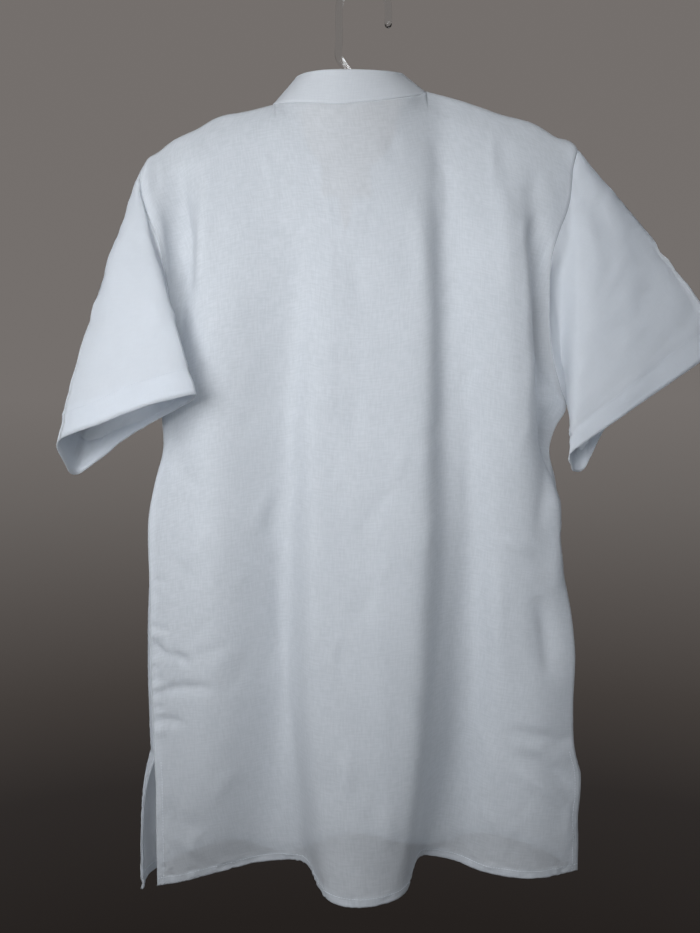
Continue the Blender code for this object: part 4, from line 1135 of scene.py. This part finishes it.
def sleeve(table, side, count=168):
    """Rings of a sleeve: the armhole, then a bend through mid sleeve to the cuff."""
    rows = np.array(list(table.values()))
    arm, places = even_ring(*armhole_ring(side, table), count)
    middle = ring_through(rows[:, 1:4], places)
    cuff = ring_through(rows[:, 4:7], places)
    length = np.linalg.norm(cuff - middle, axis=1).mean() + np.linalg.norm(middle - arm, axis=1).mean()
    steps = int(length / SLEEVE_ROW_STEP)
    close = np.array([0.0, 0.0006, 0.0014, 0.0025]) / length
    t = np.concatenate([close, np.linspace(close[-1], 1.0, steps)[1:]])[:, None, None]
    bend = 4.0 * (middle - 0.5 * (arm + cuff))
    return arm + (cuff - arm) * t + bend * t * (1.0 - t)


LEFT_CREASES = [
    (-.2500, -.2300, -.2700, -.4300, 0.004, 0.0080, 0.0016),
    (-.2300, -.2600, -.2350, -.4000, 0.003, 0.0070, -.0014),
    (-.2100, -.3100, -.2000, -.4100, 0.002, 0.0060, 0.0012),
    (-.2800, -.3600, -.2920, -.4600, 0.002, 0.0070, -.0012),
]
RIGHT_CREASES = [
    (0.2573, -.2994, 0.2335, -.3560, 0.006, 0.0026, 0.0022),
    (0.2700, -.2300, 0.2900, -.3700, 0.004, 0.0090, -.0016),
    (0.2400, -.2200, 0.2250, -.3700, 0.003, 0.0080, 0.0016),
    (0.3100, -.3000, 0.3300, -.3800, 0.003, 0.0080, 0.0012),
    (0.2300, -.4000, 0.2500, -.4600, 0.002, 0.0060, -.0012),
]


def sleeve_cloth(table, side, creases, seeds):
    """The creased sleeve, its outward normals and its patches: the tube and the turned hem."""
    grid = sleeve(table, side)
    normal = normals_of(grid, closed=True)
    centre = grid.mean(axis=1, keepdims=True)
    normal = normal * np.sign(((grid - centre) * normal).sum(axis=-1).mean())
    from_arm = walked(grid)
    from_cuff = from_arm[-1:] - from_arm
    hold = ease(from_arm / 0.012)
    grid = crumpled(grid, normal, creases, seeds, hold)
    around = walked(np.swapaxes(grid, 0, 1)).T
    away = from_cuff - SLEEVE_HEM * 0.95
    height = hem_ripples(seeds[2], around, away, **CUFF_RIPPLES)
    dip = SEAM_DIP * np.exp(-(from_arm / 0.0016)**2) + STITCH_DIP * np.exp(-(away / 0.0024)**2)
    grid = grid + normal * (height - dip)[..., None]
    return grid, normal


def make_sleeve(name, node, table, side, creases, seeds):
    """A sleeve's cloth and its stitches."""
    grid, normal = sleeve_cloth(table, side, creases, seeds)
    along = walked(grid).mean(axis=1)
    hem_rows = int((along[-1] - along < SLEEVE_HEM).sum())
    hem = (grid - normal * ALLOWANCE_GAP)[-hem_rows:]
    turned = side > 0
    piece = sheet_object(name, [(grid, True, None, turned), (hem, True, None, turned)], linen)
    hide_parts(node)
    ring = np.concatenate([grid, grid[:, :1]], axis=1)
    facing = np.concatenate([normal, normal[:, :1]], axis=1)
    stitches = stitching(name + "_stitches", [seam_line(ring, facing, "high", SLEEVE_HEM * 0.95)])
    return piece, stitches


left_sleeve, left_stitches = make_sleeve(
    "left_sleeve_cloth", "sleeve_left", SLEEVE_LEFT, -1, LEFT_CREASES, (31, 32, 33))
right_sleeve, right_stitches = make_sleeve(
    "right_sleeve_cloth", "sleeve_right", SLEEVE_RIGHT, 1, RIGHT_CREASES, (41, 42, 43))

# %% [markdown]
# ## The collar band
# A band collar is two layers of cloth with a stiffener between them, sewn to the neck and stitched
# along both edges. It stands up from the neck seam and leans in.

# %% Collar band
BAND_ROWS = 14


def neck_ring():
    """The neck seam from the slot's left edge round the back to its right edge."""
    back_left, back_right = (fold_column(BACK_FOLDS, NECK_FOLDS[-1][i]) for i in (0, 2))
    front_left, front_right = (fold_column(FRONT_FOLDS, NECK_FOLDS[1][i]) for i in (0, 2))
    slot_left, slot_right = (fold_column(FRONT_FOLDS, fold) for fold in ("slot_left", "slot_right"))
    left = front[-1, front_left + 1:slot_left + 1][::-1]
    right = front[-1, slot_right:front_right][::-1]
    return np.concatenate([left, back[-1, back_left:back_right + 1], right])


def collar_band():
    """The band: its foot stands on the neck seam, its top leans in towards the neck."""
    foot = neck_ring()
    beside = np.where(foot[:, 0] < NECK_X, BAND_TOP_LEFT, BAND_TOP_RIGHT)
    behind = np.clip(foot[:, 1] / NECK_BACK[0], 0.0, 1.0)
    before = np.clip(foot[:, 1] / NECK_FRONT[0], 0.0, 1.0)
    top_z = beside + (BAND_TOP_BACK - beside) * behind + (BAND_TOP_FRONT - beside) * before
    lean = BAND_LEAN + (1.0 - BAND_LEAN) * before**2
    top_x = NECK_X + (foot[:, 0] - NECK_X) * lean
    top = np.column_stack([top_x, foot[:, 1] * BAND_DEPTH, top_z])
    t = np.linspace(0.0, 1.0, BAND_ROWS)[:, None, None]
    return foot + (top - foot) * t


band = collar_band()
band_normal = normals_of(band)
outward = band[0] - band[0].mean(axis=0)
band_normal = band_normal * np.sign((band_normal * outward).sum(axis=-1).mean())
collar = sheet_object("collar_cloth", [(band, False, None, False)], shaded_faced_linen, BAND_THICK)
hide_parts("collar_band")
edge = collar.modifiers.new("edge", "BEVEL")
edge.width = 0.0004
edge.segments = 2
edge.limit_method = "ANGLE"
collar_stitches = stitching("collar_stitches", [
    seam_line(band, band_normal, "high", 0.0025, BAND_THICK / 2),
    seam_line(band, band_normal, "low", 0.0020, BAND_THICK / 2),
])

# %% [markdown]
# ## The half placket
# Two strips close the slot at the front. The under strip carries the buttons, the other laps over it.
# The top button is left undone, so the neck stands open.

# %% Placket strips
UNDER_LIFT, OVER_LIFT = 0.0019, 0.0036
STRIP_THICK = 0.0010
STRIP_STITCH_IN = 0.0022
STRIP_COLUMNS = 13


def placket_strip(side, lift):
    """A strip beside the slot, on the line from edge to edge of the slot, moved out by lift."""
    left = front[:, fold_column(FRONT_FOLDS, "slot_left")]
    right = front[:, fold_column(FRONT_FOLDS, "slot_right")]
    rows = left[:, 2] > PLACKET_END_Z - 0.012
    left, right = left[rows], right[rows]
    rim = (left if side < 0 else right)[:, 0]
    t = np.linspace(0.0, 1.0, STRIP_COLUMNS)
    away = 2 * PLACKET_LAP - (2 * PLACKET_HALF + PLACKET_LAP) * t
    x = rim[:, None] + side * away
    share = (x - left[:, :1]) / (right[:, :1] - left[:, :1])
    strip = left[:, None] + (right - left)[:, None] * share[..., None]
    strip[..., 1] += lift
    return strip


strips = {}
for name, node, side, lift in (("under_strip", "placket_under", 1, UNDER_LIFT),
                               ("over_strip", "placket_over", -1, OVER_LIFT)):
    grid = placket_strip(side, lift)
    normal = normals_of(grid)
    normal = normal * np.sign(normal[..., 1].mean())
    piece = sheet_object(name, [(grid, False, None, side < 0)], shaded_faced_linen, STRIP_THICK)
    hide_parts(node)
    strips[name] = (piece, grid, normal)
strip_stitches = stitching("placket_stitches", [
    seam_line(grid, normal, edge, STRIP_STITCH_IN, STRIP_THICK / 2)
    for piece, grid, normal in strips.values() for edge in ("left", "right")
])

# %% [markdown]
# ## Buttons
# A shirt button is turned: a raised rim round a shallow dish. Its profile is carried round a circle.
# Thread crosses between the four holes in the dish and hides them.

# %% Button shape
BUTTON_RADIUS, BUTTON_HEIGHT, BUTTON_GAP = 0.0055, 0.0024, 0.0004
BUTTON_Z = (-0.238, -0.325, -0.405)
HOLE_AWAY = 0.0013


def turned_mesh(name, profile, centre, turns, material):
    """A closed body turned about the Y axis through the centre, from radius and height pairs."""
    angle = np.linspace(0.0, 2 * np.pi, turns, endpoint=False)
    rings = np.asarray(profile)
    x = centre[0] + rings[:, :1] * np.cos(angle)
    z = centre[2] + rings[:, :1] * np.sin(angle)
    y = centre[1] + rings[:, 1:] + 0.0 * angle
    points = np.stack([x, y, z], axis=-1).reshape(-1, 3)
    index = np.arange(len(points)).reshape(len(rings), turns)
    after = np.roll(index, -1, axis=1)
    quads = np.stack([index[:-1], index[1:], after[1:], after[:-1]], axis=-1).reshape(-1, 4).tolist()
    quads += [index[0].tolist(), index[-1][::-1].tolist()]
    return solid_object(name, points, quads, material, sharp=0.7)


def make_button(number, z):
    """A button on the strip that carries it. What comes back is the two rows of its crossed thread."""
    strip = strips["under_strip" if number == 1 else "over_strip"][1]
    line = strip[:, STRIP_COLUMNS // 2]
    x, y = through(line[:, 2], line[:, :2], np.array([z]))[0]
    centre = (x, y + 0.0006 + BUTTON_GAP, z)
    r, h = BUTTON_RADIUS, BUTTON_HEIGHT
    profile = [(0.30 * r, 0.0), (0.80 * r, 0.0), (0.94 * r, 0.12 * h), (r, 0.32 * h), (r, 0.75 * h),
               (0.96 * r, 0.92 * h), (0.88 * r, h), (0.78 * r, 0.96 * h), (0.66 * r, 0.74 * h),
               (0.55 * r, 0.66 * h), (0.30 * r, 0.64 * h)]
    piece = turned_mesh(f"shirt_button_{number}", profile, centre, 40, pearl)
    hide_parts(f"button_{number}")
    print(piece.name, "at", np.round(centre, 4).tolist())
    face = np.array(centre) + [0.0, 0.72 * h, 0.0]
    outwards = np.array([[0.0, 1.0, 0.0]] * 2)
    holes = [np.array([HOLE_AWAY, 0.0, lean * HOLE_AWAY]) for lean in (-1.0, 1.0)]
    return [(np.array([face - hole, face + hole]), outwards) for hole in holes]


button_threads = []
for number, z in enumerate(BUTTON_Z, start=1):
    button_threads += make_button(number, z)
stitching("button_threads", button_threads)

# %% [markdown]
# ## The hanger
# The hanger is moulded in one piece from clear plastic: two arms under the shoulders and a hook of
# round rod. Both are an oval carried along a path. The hook's path is a straight leg, a half circle
# and a short tip with a round nose.

# %% Hanger
ROD_RADIUS = 0.0040
HOOK_CENTRE, HOOK_RADIUS = (-0.0003, -0.0262), 0.0262
HOOK_LEG_END, HOOK_FOOT, HOOK_TIP_Z = -0.0790, (-0.0205, -0.0885), -0.0440
ARM_HALF_THICK, ARM_HALF_HEIGHT, ARM_UNDER_CLOTH = 0.0033, 0.0060, 0.0045
ARM_TOP, ARM_INSET, WALL = (-0.012, -0.1000), 0.014, 0.0012


def swept(name, path, half_wide, half_high, turns=28):
    """A closed tube along a path in the XZ plane. Its section is an oval, half_wide along Y."""
    ahead = unit(np.gradient(path, axis=0))
    up = np.stack([-ahead[:, 1], ahead[:, 0]], axis=-1)
    angle = np.linspace(0.0, 2 * np.pi, turns, endpoint=False)
    x = path[:, :1] + up[:, :1] * half_high[:, None] * np.sin(angle)
    z = path[:, 1:] + up[:, 1:] * half_high[:, None] * np.sin(angle)
    y = half_wide[:, None] * np.cos(angle)
    points = np.stack([x, y, z], axis=-1).reshape(-1, 3)
    index = np.arange(len(points)).reshape(len(path), turns)
    after = np.roll(index, -1, axis=1)
    quads = np.stack([index[:-1], after[:-1], after[1:], index[1:]], axis=-1).reshape(-1, 4).tolist()
    quads += [index[0][::-1].tolist(), index[-1].tolist()]
    piece = solid_object(name, points, quads, clear, sharp=1.2)
    return piece


def nosed(path, radius, at_start, at_end):
    """Radii along a path that close in to a round nose at the ends asked for."""
    length = walked(path)
    radii = np.full(len(path), radius)
    for wanted, away in ((at_start, length), (at_end, length[-1] - length)):
        if wanted:
            reach = np.clip(1.0 - away / radius, 0.0, 0.97)
            radii = radii * np.sqrt(1.0 - reach**2)
    return radii


def smooth_path(knots, step):
    """A smooth path through the points, read about every step, closer at both ends."""
    knots = np.asarray(knots, float)
    length = walked(knots)
    ends = np.array([0.0, 0.0003, 0.0008, 0.0016, 0.0027])
    count = int(length[-1] / step)
    at = np.concatenate([ends, np.linspace(ends[-1], length[-1] - ends[-1], count)[1:-1],
                         length[-1] - ends[::-1]])
    return through(length, knots, at)


left_x = np.linspace(TIP_LEFT[0] + ARM_INSET, NECK_LEFT[0], 9)
right_x = np.linspace(NECK_RIGHT[0], TIP_RIGHT[0] - ARM_INSET, 9)
depth = ARM_UNDER_CLOTH + ARM_HALF_HEIGHT + WALL
arm_path = smooth_path(np.concatenate([
    np.column_stack([left_x, shoulder_z(left_x) - depth]),
    [ARM_TOP],
    np.column_stack([right_x, shoulder_z(right_x) - depth]),
]), 0.005)
swept("hanger_arms", arm_path, nosed(arm_path, ARM_HALF_THICK, True, True),
      nosed(arm_path, ARM_HALF_HEIGHT, True, True))

leg_x, tip_x = HOOK_CENTRE[0] - HOOK_RADIUS, HOOK_CENTRE[0] + HOOK_RADIUS
turn = np.linspace(np.pi, 0.0, 17)
arc = np.column_stack([HOOK_CENTRE[0] + HOOK_RADIUS * np.cos(turn),
                       HOOK_CENTRE[1] + HOOK_RADIUS * np.sin(turn)])
hook_path = smooth_path(np.concatenate([
    [ARM_TOP, HOOK_FOOT, (leg_x, HOOK_LEG_END), (leg_x, HOOK_LEG_END + 0.02)],
    arc,
    [(tip_x, HOOK_TIP_Z + 0.0015), (tip_x, HOOK_TIP_Z - 0.0025)],
]), 0.0022)
hook = swept("hanger_hook", hook_path, nosed(hook_path, ROD_RADIUS, False, True),
             nosed(hook_path, ROD_RADIUS, False, True))
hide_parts("hanger")
print("hanger: arms of", len(arm_path), "rings and hook of", len(hook_path), "rings")
